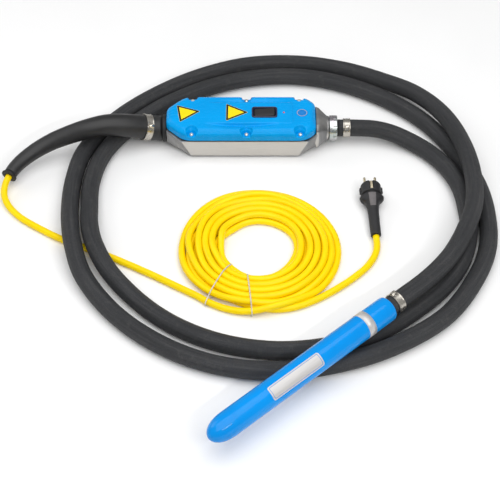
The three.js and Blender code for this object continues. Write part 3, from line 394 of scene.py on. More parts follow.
looks = {
    "hose_rubber": hose_rubber(),
    "sleeve_rubber": moulded_rubber("sleeve_rubber", (0.012, 0.012, 0.0125), (0.024, 0.024, 0.025), 0.38),
    "plug_rubber": moulded_rubber("plug_rubber", (0.010, 0.010, 0.011), (0.026, 0.026, 0.028), 0.5),
    "seal_rubber": moulded_rubber("seal_rubber", (0.006, 0.006, 0.007), (0.014, 0.014, 0.015), 0.5),
    # a lighter rubber, used as a painted sheen on the top of the plug's boot
    "painted_sheen_rubber": moulded_rubber("painted_sheen_rubber", (0.10, 0.092, 0.095), (0.17, 0.158, 0.16), 0.45),
    "cable_yellow": cable_sheath(),
    "blue_plastic": glossy_blue("blue_plastic", (0.0, 0.315, 0.76), (0.0, 0.36, 0.84), 0.24, 0.00008, 0.14),
    "blue_paint": glossy_blue("blue_paint", (0.0, 0.25, 0.71), (0.0, 0.285, 0.79), 0.09, 0.00002, 0.24),
    "cast_aluminium": cast_aluminium(),
    "stainless": metal("stainless", (0.42, 0.39, 0.345), (0.62, 0.59, 0.53), 0.2, 0.3),
    "screw_steel": metal("screw_steel", (0.70, 0.69, 0.66), (0.9, 0.89, 0.86), 0.2),
    "zinc": metal("zinc", (0.38, 0.43, 0.42), (0.60, 0.64, 0.61), 0.17, 0.0, (0.58, 0.47, 0.55)),
    "machined_steel": metal("machined_steel", (0.40, 0.40, 0.41), (0.60, 0.60, 0.60), 0.26, 0.4),
    "brass": metal("brass", (0.50, 0.42, 0.28), (0.78, 0.70, 0.52), 0.25),
    "black_plastic": black_plastic("black_plastic", (0.010, 0.010, 0.012), 0.35),
    "bezel_plastic": black_plastic("bezel_plastic", (0.018, 0.017, 0.045), 0.3),
    "rocker_rubber": black_plastic("rocker_rubber", (0.016, 0.016, 0.018), 0.5),
    "foil_label": foil(),
    "yellow_label": film("yellow_label", (0.95, 0.70, 0.0), (1.0, 0.80, 0.01)),
    "black_ink": film("black_ink", (0.012, 0.010, 0.008), (0.03, 0.026, 0.02)),
    "blue_ink": film("blue_ink", (0.0, 0.17, 0.55), (0.02, 0.24, 0.66)),
    "red_lens": lens_red(),
    "tie_white": twisted_cord(),
    "board_green": board_mask(),
    "copper": enamelled_wire(),
}


# ---------------- lines and frames
def eased(t):
    """From 0 to 1, level at both ends."""
    return t * t * (3 - 2 * t)


def smooth_step(value, start, end):
    return eased(np.clip((value - start) / (end - start), 0, 1))


def round_angles(count):
    return np.linspace(0, 2 * math.pi, count, endpoint=False)


def at_height(outline, z):
    """An outline in the plane as points in space."""
    return np.c_[outline, np.full(len(outline), z)]


def smooth_route(points, step):
    """Points a step apart on the centripetal Catmull-Rom curve through the given points, in metres."""
    p = np.array(points, float) * MM
    p = np.vstack([2 * p[0] - p[1], p, 2 * p[-1] - p[-2]])
    pieces = []
    for before, start, end, after in zip(p, p[1:], p[2:], p[3:]):
        a, b, c = (math.sqrt(np.linalg.norm(v)) for v in (start - before, end - start, after - end))
        leave = b * ((start - before) / a - (end - before) / (a + b) + (end - start) / b)
        arrive = b * ((end - start) / b - (after - start) / (b + c) + (after - end) / c)
        t = np.linspace(0, 1, 24, endpoint=False)[:, None]
        cubic = 2 * start - 2 * end + leave + arrive
        square = -3 * start + 3 * end - 2 * leave - arrive
        pieces.append(start + leave * t + square * t**2 + cubic * t**3)
    return spaced(np.vstack([*pieces, p[-2:-1]]), step)


def distances(line):
    return np.concatenate([[0], np.cumsum(np.linalg.norm(np.diff(line, axis=0), axis=1))])


def spaced(line, step):
    """The line again, with its points a step apart."""
    along = distances(line)
    at = np.linspace(0, along[-1], max(2, round(along[-1] / step) + 1))
    return np.stack([np.interp(at, along, line[:, k]) for k in range(3)], axis=1)


def unit(vectors):
    return vectors / np.maximum(np.linalg.norm(vectors, axis=-1, keepdims=True), 1e-12)


def place_at(point, forward):
    """A frame at a point: local Z looks forward, local X is level and local Y is up."""
    ahead = Vector(forward).normalized()
    across = Vector((0, 0, 1)).cross(ahead).normalized()
    up = ahead.cross(across)
    m = Matrix((across, up, ahead)).transposed().to_4x4()
    m.translation = Vector(point)
    return m


def place_on(line, distance):
    """The frame at a distance along a line."""
    along = distances(line)
    here, ahead = (
        np.array([np.interp(distance + d, along, line[:, k]) for k in range(3)]) for d in (0, 0.002)
    )
    return place_at(here, ahead - here)


def middle(node):
    low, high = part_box(node)
    return (low + high) / 2


# ---------------- pieces
def piece(name, vertices, faces, look, stands_for=(), uv=None, place=None):
    """A mesh that rides on a body, stands for CAD nodes and has one material."""
    mesh = bpy.data.meshes.new(name)
    mesh.from_pydata([tuple(v) for v in vertices], [], [tuple(f) for f in faces])
    if uv is not None:
        layer = mesh.uv_layers.new(name="UVMap")
        corner = np.zeros(len(mesh.loops), np.int32)
        mesh.loops.foreach_get("vertex_index", corner)
        layer.data.foreach_set("uv", np.asarray(uv, np.float32)[corner].ravel())
    if place is not None:
        mesh.transform(place)
    mesh.validate()
    mesh.update()
    return dress(name, mesh, look, stands_for)


def in_scene(name, data):
    obj = bpy.data.objects.new(name, data)
    bpy.context.scene.collection.objects.link(obj)
    return obj


def dress(name, mesh, look, stands_for=(), body="body"):
    """A mesh as a piece, with its material, its body and the CAD nodes that it stands for."""
    obj = in_scene(name, mesh)
    mesh.materials.clear()
    mesh.materials.append(looks[look])
    mesh.shade_smooth()
    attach(obj, body)
    if stands_for:
        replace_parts(obj, *stands_for)
    return obj


def crisp(obj, degrees=32):
    """Smooth shading that stops at edges sharper than an angle."""
    obj.data.set_sharp_from_angle(angle=math.radians(degrees))
    return obj


def grid_faces(rows, columns, wrap=True):
    r, c = np.meshgrid(np.arange(rows - 1), np.arange(columns if wrap else columns - 1), indexing="ij")
    a = r * columns + c
    b = r * columns + (c + 1) % columns
    return np.stack([a, b, b + columns, a + columns], axis=-1).reshape(-1, 4)


def swept(name, line, radius, sides, look, stands_for=(), ripple=None):
    """A tube along a line with capped ends. The radius may be one number or one for each point."""
    radius = np.broadcast_to(np.asarray(radius, float), (len(line),))
    ahead = unit(np.gradient(line, axis=0))
    side = np.zeros_like(line)
    side[0] = unit(np.cross((0, 0, 1), ahead[0]))
    for i in range(1, len(line)):  # carried along without twist
        side[i] = unit(side[i - 1] - ahead[i] * (side[i - 1] @ ahead[i]))
    up = np.cross(ahead, side)
    angle = round_angles(sides)
    out = side[:, None] * np.cos(angle)[None, :, None] + up[:, None] * np.sin(angle)[None, :, None]
    along = distances(line)
    reach = radius[:, None] + (ripple(along[:, None], angle[None, :]) if ripple else 0)
    rings = line[:, None] + out * reach[..., None]
    vertices = np.vstack([rings.reshape(-1, 3), line[:1], line[-1:]])
    faces = grid_faces(len(line), sides).tolist()
    first, last, end = len(line) * sides, len(line) * sides + 1, (len(line) - 1) * sides
    faces += [(first, (k + 1) % sides, k) for k in range(sides)]
    faces += [(last, end + k, end + (k + 1) % sides) for k in range(sides)]
    uv = np.stack(np.broadcast_arrays(angle[None, :] / (2 * math.pi), along[:, None]), axis=-1)
    uv = np.vstack([uv.reshape(-1, 2), [[0.5, 0], [0.5, along[-1]]]])
    return piece(name, vertices, faces, look, stands_for, uv)


def bend_at(here, before, after, room, steps):
    """A corner between two neighbours as a curve that starts and ends at a distance from it."""
    a, b = here + unit(before - here) * room, here + unit(after - here) * room
    shares = [k / steps for k in range(steps + 1)]
    return [(1 - t) ** 2 * a + 2 * t * (1 - t) * here + t * t * b for t in shares]


def softened(profile, radius, steps=4):
    """A closed or open profile with each corner rounded, as far as its neighbours leave room."""
    p = [np.array(q, float) for q in profile]
    closed = np.allclose(p[0], p[-1])
    corners = p[:-1] if closed else p
    out = []
    for i, here in enumerate(corners):
        if not closed and i in (0, len(corners) - 1):
            out.append(here)
            continue
        before, after = corners[i - 1], corners[(i + 1) % len(corners)]
        room = min(radius, 0.45 * np.linalg.norm(before - here), 0.45 * np.linalg.norm(after - here))
        out += bend_at(here, before, after, room, steps)
    return out + [out[0]] if closed else out


def turned(name, profile, sides, look, stands_for=(), place=None, reach=None):
    """A profile of (radius, height) turned about local Z, listed upwards on its outer side."""
    profile = np.array(profile, float)
    closed = np.allclose(profile[0], profile[-1])
    if closed:
        profile = profile[:-1]
    angle = round_angles(sides)
    r = profile[:, :1] * (reach(angle, profile) if reach else np.ones((1, sides)))
    height = np.broadcast_to(profile[:, 1:], r.shape)
    rings = np.stack([r * np.cos(angle), r * np.sin(angle), height], axis=-1)
    vertices = rings.reshape(-1, 3)
    faces = grid_faces(len(profile), sides).tolist()
    if closed:
        last = (len(profile) - 1) * sides
        faces += [(last + k, last + (k + 1) % sides, (k + 1) % sides, k) for k in range(sides)]
    along = distances(np.c_[profile, np.zeros(len(profile))])
    uv = np.stack(np.broadcast_arrays(angle[None, :] / (2 * math.pi), along[:, None]), axis=-1)
    made = piece(name, vertices, faces, look, stands_for, uv.reshape(-1, 2), place)
    outward(made.data, WELD)
    return made


def lofted(rings):
    """A plain mesh, closed at both ends, over rings of equal count."""
    rings = [np.asarray(r, float) for r in rings]
    count = len(rings[0])
    faces = grid_faces(len(rings), count).tolist()
    faces += [tuple(range(count))[::-1], tuple(range((len(rings) - 1) * count, len(rings) * count))]
    mesh = bpy.data.meshes.new("loft")
    mesh.from_pydata([tuple(v) for v in np.vstack(rings)], [], faces)
    outward(mesh)
    return mesh


def outward(mesh, weld=0.0):
    """Turns the faces outwards, after joining points that lie within a distance of each other."""
    bm = bmesh.new()
    bm.from_mesh(mesh)
    if weld:
        bmesh.ops.remove_doubles(bm, verts=bm.verts, dist=weld)
    bmesh.ops.recalc_face_normals(bm, faces=bm.faces)
    bm.to_mesh(mesh)
    bm.free()


def cone(low, high, bottom, top, centre, sides=32):
    """A plain cone or cylinder about an upright axis."""
    angle = round_angles(sides)
    ring = np.stack([np.cos(angle), np.sin(angle), 0 * angle], axis=-1)
    return lofted([ring * bottom + (*centre, low), ring * top + (*centre, high)])


def rounded_rectangle(length, width, corner, steps=6):
    """An outline round the origin, anticlockwise."""
    points = []
    for quarter, (sx, sy) in enumerate(((1, 1), (-1, 1), (-1, -1), (1, -1))):
        for k in range(steps + 1):
            a = (quarter + k / steps) * math.pi / 2
            x, y = sx * (length / 2 - corner), sy * (width / 2 - corner)
            points.append((x + corner * math.cos(a), y + corner * math.sin(a)))
    return np.array(points)


def pillow(length, width, corner, low, high, edge, centre, steps=5):
    """A block with rounded upright corners and a rounded upper edge."""
    rings = [at_height(rounded_rectangle(length, width, corner), low)]
    for k in range(steps + 1):
        a = k / steps * math.pi / 2
        inset, z = edge * (1 - math.cos(a)), high - edge + edge * math.sin(a)
        shape = rounded_rectangle(length - 2 * inset, width - 2 * inset, max(corner - inset, 0.0002))
        rings.append(at_height(shape, z))
    return lofted([r + (*centre, 0) for r in rings])


def combined(mesh, *steps):
    """A mesh after booleans, each given as (operation, mesh)."""
    obj = in_scene("solid", mesh)
    tools = []
    for kind, tool in steps:
        tools.append(in_scene("solid", tool))
        change = obj.modifiers.new("cut", "BOOLEAN")
        change.operation, change.solver, change.object = kind, "EXACT", tools[-1]
    return applied(obj, *tools)


def applied(obj, *tools):
    """The mesh that an object's modifiers make, after which the object and its tools are gone."""
    bpy.context.view_layer.update()
    made = bpy.data.meshes.new_from_object(obj.evaluated_get(bpy.context.evaluated_depsgraph_get()))
    for used in (obj, *tools):
        bpy.data.objects.remove(used)
    return made


def remeshed(mesh, voxel, rounds, keep=0.5):
    """The solid again in even small faces, with its edges rounded as a casting's or a moulding's are."""
    obj = in_scene("solid", mesh)
    change = obj.modifiers.new("even", "REMESH")
    change.mode, change.voxel_size = "VOXEL", voxel
    made = applied(obj)
    co = points_of(made)
    edges = np.zeros(len(made.edges) * 2, np.int32)
    made.edges.foreach_get("vertices", edges)
    a, b = edges.reshape(-1, 2).T
    count = np.bincount(np.r_[a, b], minlength=len(co))[:, None]
    for step in range(rounds * 2):
        total = np.zeros_like(co)
        np.add.at(total, a, co[b])
        np.add.at(total, b, co[a])
        share = keep if step % 2 == 0 else -keep * 0.9
        co += share * (total / np.maximum(count, 1) - co)
    move_to(made, co)
    return made


def points_of(mesh):
    co = np.zeros(len(mesh.vertices) * 3, np.float32)
    mesh.vertices.foreach_get("co", co)
    return co.reshape(-1, 3).astype(float)


def move_to(mesh, co):
    mesh.vertices.foreach_set("co", np.asarray(co, np.float32).ravel())
    mesh.update()


def joined(*meshes):
    bm = bmesh.new()
    for mesh in meshes:
        bm.from_mesh(mesh)
    made = bpy.data.meshes.new("joined")
    bm.to_mesh(made)
    bm.free()
    return made


# ---------------- cords
hose_line = smooth_route(HOSE_ROUTE, 0.006)


def wrap_marks(along, angle):
    """The faint ridges that the cloth wrapping left along the hose when it was cured."""
    return 0.00012 * np.cos(9 * angle + 6 * along) * np.sin(2 * angle + 3.1 * along)


hose_width = HOSE_RADIUS - 0.2 * MM  # the ridges stand on it
hose = swept("hose", hose_line, hose_width, 28, "hose_rubber", ["protective_hose"], wrap_marks)

COIL_CENTRE = middle("cable_coil")
COIL_OUTER = (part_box("cable_coil")[1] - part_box("cable_coil")[0]).x / 2
PITCH = 12.2 * MM
LOWER = 6.4 * MM
UPPER = LOWER + 10.4 * MM
TURN_STEPS = 60
LEAN = [0, 0, 0, 1.0, 1.6, -4.5, 1.4, 1.0, 0, 0, 0, 0]  # how far each turn lies towards +X, in millimetres
EASE_IN, EASE_OUT = 0.2, 0.16  # turns over which the lead joins the coil and leaves it


def coil_slots():
    """Each turn's radius and height: one outside on the floor, in over the top, and out below."""
    outer = COIL_OUTER - CABLE_RADIUS
    upper = [outer - PITCH * (k + 0.5) for k in range(4)] + [outer - PITCH * 4.55]
    lower = [outer - PITCH * k for k in range(1, 5)]
    inner = outer - PITCH * 5.15
    up, down = [(r, UPPER) for r in upper], [(r, LOWER) for r in reversed(lower)]
    return [(outer, LOWER), *up, (inner, LOWER), *down]


def coil_line(enter, leave):
    """The turns of the coil, between the points where the lead comes in and goes out on the floor."""
    slots = coil_slots()
    cx, cy = COIL_CENTRE.x, COIL_CENTRE.y
    start = math.atan2(enter[1] - cy, enter[0] - cx) % (2 * math.pi)
    end = math.atan2(leave[1] - cy, leave[0] - cx) % (2 * math.pi) + 2 * math.pi * (len(slots) - 1)
    angle = np.linspace(start, end, round((end - start) / (2 * math.pi) * TURN_STEPS) + 1)
    turn = (angle - start) / (2 * math.pi)
    slot_r, slot_z = (np.array([s[k] for s in slots] + [slots[-1][k]]) for k in (0, 1))
    index = np.minimum(turn.astype(int), len(slots) - 1)
    share = eased(np.clip((turn - index - 0.62) / 0.38, 0, 1))  # it moves over late in each turn
    radius = slot_r[index] * (1 - share) + slot_r[index + 1] * share
    height = slot_z[index] * (1 - share) + slot_z[index + 1] * share
    for k, size in ((1, 2.2), (2, 2.6), (3, 1.2)):  # hand-laid turns are a little uneven
        phase = rng.uniform(0, 2 * math.pi) + 0.35 * k * turn
        radius = radius + size * MM * np.cos(k * angle + phase) * np.minimum(1, turn * 3)
    radius += 0.9 * MM * np.sin(1.7 * turn + 2.3 * angle) * np.minimum(1, turn * 3)
    lean = np.array(LEAN) * MM
    radius += (lean[index] * (1 - share) + lean[index + 1] * share) * np.cos(angle + 0.15)
    enter_r, leave_r = (math.hypot(p[0] - cx, p[1] - cy) for p in (enter, leave))
    ease_in = eased(np.clip(1 - turn / EASE_IN, 0, 1))
    ease_out = eased(np.clip(1 - (turn[-1] - turn) / EASE_OUT, 0, 1))
    radius = radius * (1 - ease_in) * (1 - ease_out) + enter_r * ease_in + leave_r * ease_out
    crossing = (end - start) / (2 * math.pi) - (len(slots) - 1)
    height += (2 * CABLE_RADIUS) * np.exp(-(((turn - crossing + 0.02) / 0.06) ** 2))
    return np.c_[cx + radius * np.cos(angle), cy + radius * np.sin(angle), height]


def settled(line, rounds=140):
    """The turns pushed apart where they touch, smoothed, and let down onto what is under them."""
    p = line.copy()
    thick = 2 * CABLE_RADIUS + 0.0001
    held = np.minimum(np.arange(len(p)), np.arange(len(p))[::-1])
    free = np.clip(held / 8, 0, 1)[:, None]
    apart = np.abs(np.subtract.outer(np.arange(len(p)), np.arange(len(p)))) > TURN_STEPS // 4
    for step in range(rounds):
        gap = p[:, None] - p[None]
        far = np.linalg.norm(gap, axis=-1)
        near = apart & (far < thick)
        push = np.where(near, (thick - far) / np.maximum(far, 1e-6), 0)
        move = (gap * push[..., None]).sum(1) / np.maximum(near.sum(1), 1)[:, None] * 0.45
        move[:, 2] -= 0.00008 if step < rounds - 30 else 0
        p += move * free
        bend = p.copy()
        bend[1:-1] = (p[:-2] + p[2:]) / 2
        bend = p - bend
        curve = bend.copy()
        curve[1:-1] = (bend[:-2] + bend[2:]) / 2
        p -= 0.35 * (bend - curve) * free
        p[:, 2] = np.maximum(p[:, 2], LOWER)
    return p


mains_line = smooth_route(MAINS_ROUTE, 0.006)
plug_line = smooth_route(PLUG_ROUTE, 0.006)
coil = settled(coil_line(mains_line[-1], plug_line[0]))
lead_line = spaced(np.vstack([mains_line[:-1], coil, plug_line[1:]]), 0.005)
lead_nodes = ["mains_cable", "cable_coil", "plug_cable"]
lead = swept("mains_lead", lead_line, CABLE_RADIUS, 18, "cable_yellow", lead_nodes)


# ---------------- sleeve, collar, clamps and nut
def ends_rounded(length, step, soft):
    """Distances along a piece, close together at its ends, and how much thinner it is there."""
    turn = [soft * (1 - math.cos(k * math.pi / 10)) for k in range(6)]
    inner = np.linspace(soft, length - soft, round(length / step))[1:-1]
    at = np.concatenate([turn, inner, [length - t for t in reversed(turn)]])
    near = np.clip(np.minimum(at, length - at) / soft, 0, 1)
    return at, soft * (1 - np.sqrt(1 - (1 - near) ** 2))


def bend_sleeve():
    at, less = ends_rounded(SLEEVE_LENGTH, 0.005, 1.6 * MM)
    share = np.maximum(at / SLEEVE_LENGTH - 0.1, 0) / 0.9
    radius = SLEEVE_RADIUS + (SLEEVE_TIP_RADIUS - SLEEVE_RADIUS) * share
    along = distances(mains_line)
    line = np.stack([np.interp(SLEEVE_START + at, along, mains_line[:, k]) for k in range(3)], axis=1)
    return swept("sleeve", line, radius - less, 48, "sleeve_rubber", ["bend_protection_sleeve"])


sleeve = bend_sleeve()

GROMMET = [(8, 0), (11.4, 0), (12.4, 1.2), (12.7, 3), (14.2, 3.4), (14.2, 6.4), (13.2, 7)]
GROMMET += [(7.2, 7), (6.6, 5), (8, 0)]


def scaled(profile):
    return [(r * MM, z * MM) for r, z in profile]


sleeve_tip = place_on(mains_line, SLEEVE_START + SLEEVE_LENGTH + 0.3 * MM)
grommet_shape = softened(scaled(GROMMET), 0.5 * MM)
grommet = turned("sleeve_tip_grommet", grommet_shape, 56, "seal_rubber", ["sleeve_grommet"], sleeve_tip)

AXIS_HEIGHT = 31
HOUSING_AXIS = Vector((0, 0, AXIS_HEIGHT * MM))
REARWARD = place_at(HOUSING_AXIS, (-1, 0, 0))
FORWARD = place_at(HOUSING_AXIS, (1, 0, 0))
COLLAR = [(12, 151.4), (25, 151.4), (25.5, 152), (25.5, 157.4), (24.6, 158.3), (22, 158.3)]
COLLAR += [(21, 156.6), (12, 156.6), COLLAR[0]]
turned("rear_flange", softened(scaled(COLLAR), 0.6 * MM), 72, "seal_rubber", ["rear_collar"], REARWARD)


def prism(outline, low, high, edge):
    """An outline raised from one height to another, with its rims eased inwards."""
    outline = np.array(outline, float)
    centre = outline.mean(0)
    inward = outline + unit(centre - outline) * edge
    rings = [(inward, low), (outline, low + edge), (outline, high - edge), (inward, high)]
    return lofted([at_height(ring, z) for ring, z in rings])


EAR = [(-5, -0.6), (-4.6, 0.2), (-3.1, 0.7), (-2.3, 1.8), (-2.6, 2.9), (-1.5, 3.5)]
EAR += [(0, 3.0), *[(-x, y) for x, y in reversed(EAR)]]


def band_clamp(name, node, place, radius, ear_degrees):
    """A rolled steel band with beaded edges, tightened by the crimped ear that stands on it."""
    inner = radius + 0.25 * MM
    outer = radius + 2 * MM
    rolled = outer - 0.45 * MM
    band = [(inner, -6.5), (outer, -6.5), (outer, -5.2), (rolled, -4.6), (rolled, 4.6)]
    band += [(outer, 5.2), (outer, 6.5), (inner, 6.5), (inner, -6.5)]
    profile = softened([(r, z * MM) for r, z in band], 0.3 * MM)
    clamp = turned(name, profile, 80, "stainless", [node])
    ear = prism([(y * MM + outer, x * MM) for x, y in EAR], -4.4 * MM, 4.4 * MM, 0.5 * MM)
    ear.transform(Matrix.Rotation(math.radians(ear_degrees), 4, "Z"))
    whole = joined(clamp.data, ear)
    whole.transform(place)
    whole.materials.append(looks["stainless"])
    whole.shade_smooth()
    clamp.data = whole
    return crisp(clamp, 40)


SET_BACK = 16.5 * MM
hose_length = distances(hose_line)[-1]
front_place = place_on(hose_line, SET_BACK)
front_clamp = band_clamp("front_clamp", "front_hose_clamp", front_place, HOSE_RADIUS, 132)
rear_clamp_place = place_on(mains_line, SLEEVE_START + 31.5 * MM)
rear_clamp = band_clamp("sleeve_band", "sleeve_clamp", rear_clamp_place, SLEEVE_RADIUS, 45)

NUT = [(9.9, 152.5), (22.6, 152.5), (23.5, 153.4), (23.5, 159.4), (23.5, 159.9), (23.5, 166.4)]
NUT += [(22.6, 167.3), (18, 167.3), (17, 166.2), (9.9, 166.2), (9.9, 152.5)]


def notched(angle, profile):
    """Eight notches for a hook wrench in the front half of the nut."""
    off = np.abs((angle + math.pi / 8) % (math.pi / 4) - math.pi / 8)[None, :]
    notch = 1 - np.clip((off - 0.085) / 0.02, 0, 1)
    deep = (profile[:, :1] > 20 * MM) & (profile[:, 1:] > 159.6 * MM)
    return 1 - 0.085 * notch * deep


nut_shape = softened(scaled(NUT), 0.35 * MM)
crisp(turned("wrench_nut", nut_shape, 288, "zinc", ["ring_nut"], FORWARD, notched), 35)


# ---------------- converter housing
REAR_FACE, REAR_SHOULDER, FRONT_SHOULDER, COVER_FRONT, NECK_FACE = -151, -103, 93, 127, 152
HALF_WIDTH, END_HALF, FRONT_HALF, RIM, END_FLOOR, CASTING_CORNER = 52.5, 19, 33, 44.5, 9, 8
SHELL_WALL, SCREW_HOLE, BOSS_RADIUS = 4, 2.3, 4.6
SHOULDER_LEAN, SIDE_DRAFT = 19, 4.5  # how much further out the shell is at its rim than at its floor
COVER_SHOULDERS = (-118, 108)
SWITCH_X, SWITCH_LENGTH, SWITCH_WIDTH, PIVOT_HEIGHT = 31.5, 45.0, 27.0, 68.0
COVER_FLOOR, COVER_TOP, COVER_WALL = 46.5, 70.0, 3.0
SCREW_X, SCREW_Y = (-103, -2, 97), 46
SCREW_SEAT = COVER_FLOOR + 9
NECK_RADIUS, NECK_LOW, NECK_HIGH, NECK_HALF = 22, 5, 61, 35


def millimetres(mesh):
    mesh.transform(Matrix.Scale(MM, 4))
    return mesh


def hull_ring(inset, top, x, half, low, corner, lean=0.0, draft=0.0, steps=7):
    """A section of the shell with rounded lower corners, leaning out from its floor to its rim."""
    half, low, corner = half - inset, low + inset, max(corner - inset, 2)
    arc = [math.pi / 2 * k / steps for k in range(steps + 1)]
    left = [(-half + corner - corner * math.cos(a), low + corner - corner * math.sin(a)) for a in arc]
    right = [(half - corner + corner * math.sin(a), low + corner - corner * math.cos(a)) for a in arc]
    section = [(half, top), (-half, top), *left, *right]
    return np.array([(x + lean * z / RIM, y + math.copysign(draft * z / RIM, y), z) for y, z in section])


def hull(inset):
    floor_half = HALF_WIDTH - SIDE_DRAFT
    side = {"lean": SHOULDER_LEAN, "draft": SIDE_DRAFT}
    rear_side = {"lean": -SHOULDER_LEAN, "draft": SIDE_DRAFT}
    top = RIM + (1 if inset else 0)
    rings = [
        hull_ring(inset, top, REAR_FACE + inset, END_HALF + 3, END_FLOOR, 14, draft=-3),
        hull_ring(inset, top, REAR_SHOULDER + inset / 2, floor_half, 0, CASTING_CORNER, **rear_side),
        hull_ring(inset, top, FRONT_SHOULDER - inset / 2, floor_half, 0, CASTING_CORNER, **side),
        hull_ring(inset, top, COVER_FRONT + 1.3 - inset, 28, 5, 12, draft=7),
    ]
    return lofted(rings)


def neck():
    """From the squarish front end of the hull, which stands up behind the cover, to a round face."""
    angle = round_angles(96)
    y, z = np.cos(angle), np.sin(angle)
    reach = np.minimum(1 / np.maximum(np.abs(y), np.abs(z)), 1.22)
    tall = (NECK_HIGH - NECK_LOW) / 2
    square_y = np.clip(NECK_HALF * y * reach, -NECK_HALF, NECK_HALF)
    square_z = np.clip(tall * z * reach, -tall, tall) + (NECK_HIGH + NECK_LOW) / 2
    rings = []
    for x, blend in ((COVER_FRONT + 0.3, 0), (COVER_FRONT + 6, 0.12), (NECK_FACE - 4, 0.95), (NECK_FACE, 1)):
        ring_y = square_y * (1 - blend) + NECK_RADIUS * y * blend
        ring_z = square_z * (1 - blend) + (AXIS_HEIGHT + NECK_RADIUS * z) * blend
        rings.append(np.c_[np.full(96, x), ring_y, ring_z])
    return lofted(rings)


def rod_along_x(start, end, radius):
    mesh = cone(start, end, radius, radius, (0, 0), 48)
    mesh.transform(Matrix.Translation((0, 0, AXIS_HEIGHT)) @ Matrix.Rotation(math.pi / 2, 4, "Y"))
    return mesh


def every_screw():
    return [(x, side * SCREW_Y) for x in SCREW_X for side in (-1, 1)]


def shell():
    solid = combined(hull(0), ("UNION", neck()), ("DIFFERENCE", hull(SHELL_WALL)))
    for x, y in every_screw():
        solid = combined(solid, ("UNION", cone(24, RIM, BOSS_RADIUS, BOSS_RADIUS, (x, y))))
        hole = cone(RIM - 10, RIM + 2, SCREW_HOLE, SCREW_HOLE, (x, y))
        solid = combined(solid, ("DIFFERENCE", hole))
    openings = rod_along_x(116, 154, 9.6), rod_along_x(-153, -144, 11.9)
    solid = combined(solid, *(("DIFFERENCE", tool) for tool in openings))
    mesh = millimetres(remeshed(solid, 0.9, 5))
    return dress("housing_casting", mesh, "cast_aluminium", ["housing_shell"])


def cover_outline(inset, steps=8):
    """The octagon of the cover with its corners rounded, pulled in all round."""
    half = HALF_WIDTH - inset
    rear = (REAR_FACE + inset, END_HALF - inset * 0.4)
    front = (COVER_FRONT - inset, FRONT_HALF - inset * 0.6)
    rear_shoulder, front_shoulder = COVER_SHOULDERS[0] + inset * 0.4, COVER_SHOULDERS[1] - inset * 0.4
    corners = [front, (front_shoulder, half), (rear_shoulder, half), rear]
    corners += [(x, -y) for x, y in reversed(corners)]
    corners = [np.array(c, float) for c in corners]
    out = []
    for i, here in enumerate(corners):
        before, after = corners[i - 1], corners[(i + 1) % 8]
        out += bend_at(here, before, after, 15 if abs(here[1]) == half else 8, steps)
    return np.array(out)


def dome(inset, low, top, rise=14, steps=14):
    rings = [(cover_outline(inset), low), (cover_outline(inset), top - rise)]
    for k in range(1, steps + 1):
        a = k / steps * math.pi / 2
        rings.append((cover_outline(inset + rise * (1 - math.cos(a))), top - rise + rise * math.sin(a)))
    return lofted([at_height(ring, z) for ring, z in rings])


POCKET_TAPER = 1.3  # 1 would make the pocket an ellipse, 2 a triangle


def pocket(x, y):
    """The arched pocket of a cover screw: narrow at its seat, flared above and open to the side."""
    side = math.copysign(1, y)
    rings = []
    for z, half, back in ((SCREW_SEAT, 6.8, 6.4), (60.5, 8.4, 8.2), (65, 10.8, 10.8), (72, 14.0, 14.5)):
        arch = []
        for a in np.linspace(0, math.pi, 15):
            across = math.copysign(abs(math.cos(a)) ** POCKET_TAPER, math.cos(a))
            arch.append((half * across, -side * back * math.sin(a) ** POCKET_TAPER))
        outline = [(half * 1.12, side * 24), *arch, (-half * 1.12, side * 24)]
        rings.append([(x + dx, y + dy, z) for dx, dy in outline])
    return lofted(rings)


PANEL_RISE = 1.1
SCOOPS = ((31, -72, 86, 4.6, 3.6), (-29, -82, 62, 4.8, 3.4))  # y, from x to x, depth, width


def cover_drop(x, y):
    """How far the cover lies under its crown, round the raised middle panel and in the two scoops."""
    within = smooth_step(x, -80, -40) * (1 - smooth_step(x, 82, 85))
    drop = PANEL_RISE * (1 - within * (1 - smooth_step(np.abs(y), 25, 31)))
    for line, start, end, depth, width in SCOOPS:
        t = np.clip((x - start) / (end - start), 0, 1)
        shape = np.sin(math.pi * t) ** 0.8
        bow = line + math.copysign(2.2, line) * np.sin(math.pi * t)
        off = (y - bow) * math.copysign(1, line)
        slope = np.where(off > 0, off / (width * 2.1), off / (width * 0.55))
        drop = drop + depth * shape * np.exp(-(slope**2))
    return drop


def cover():
    hollow = dome(COVER_WALL, COVER_FLOOR - 1, COVER_TOP - COVER_WALL - 2.6)
    solid = combined(dome(0, COVER_FLOOR, COVER_TOP), ("DIFFERENCE", hollow))
    columns = [cone(COVER_FLOOR, 66, 9, 15, (x, y * 0.95)) for x, y in every_screw()]
    for column in columns:
        inside = combined(column, ("INTERSECT", dome(0.8, COVER_FLOOR, COVER_TOP - 1)))
        solid = combined(solid, ("UNION", inside))
    for x, y in every_screw():
        solid = combined(solid, ("DIFFERENCE", pocket(x, y)))
        hole = cone(COVER_FLOOR - 2, SCREW_SEAT + 1, SCREW_HOLE, SCREW_HOLE, (x, y))
        solid = combined(solid, ("DIFFERENCE", hole))
    window = pillow(41, 23, 3, 55, 75, 0.5, (SWITCH_X, 0))
    solid = combined(solid, ("DIFFERENCE", window))
    mesh = remeshed(solid, 0.8, 5)
    co = points_of(mesh)
    upper = smooth_step(co[:, 2], 61, 65.5)
    co[:, 2] -= cover_drop(co[:, 0], co[:, 1]) * upper
    move_to(mesh, co)
    return dress("housing_lid", millimetres(mesh), "blue_plastic", ["housing_cover"])


def gasket():
    rings = []
    for inset, z in ((0.7, 44.8), (0.4, 45.2), (0.4, 45.8), (0.7, 46.2), (4, 46.2), (4, 44.8)):
        rings.append(at_height(cover_outline(inset), z))
    return ring_body("seam_gasket", rings, "seal_rubber", ["cover_gasket"])


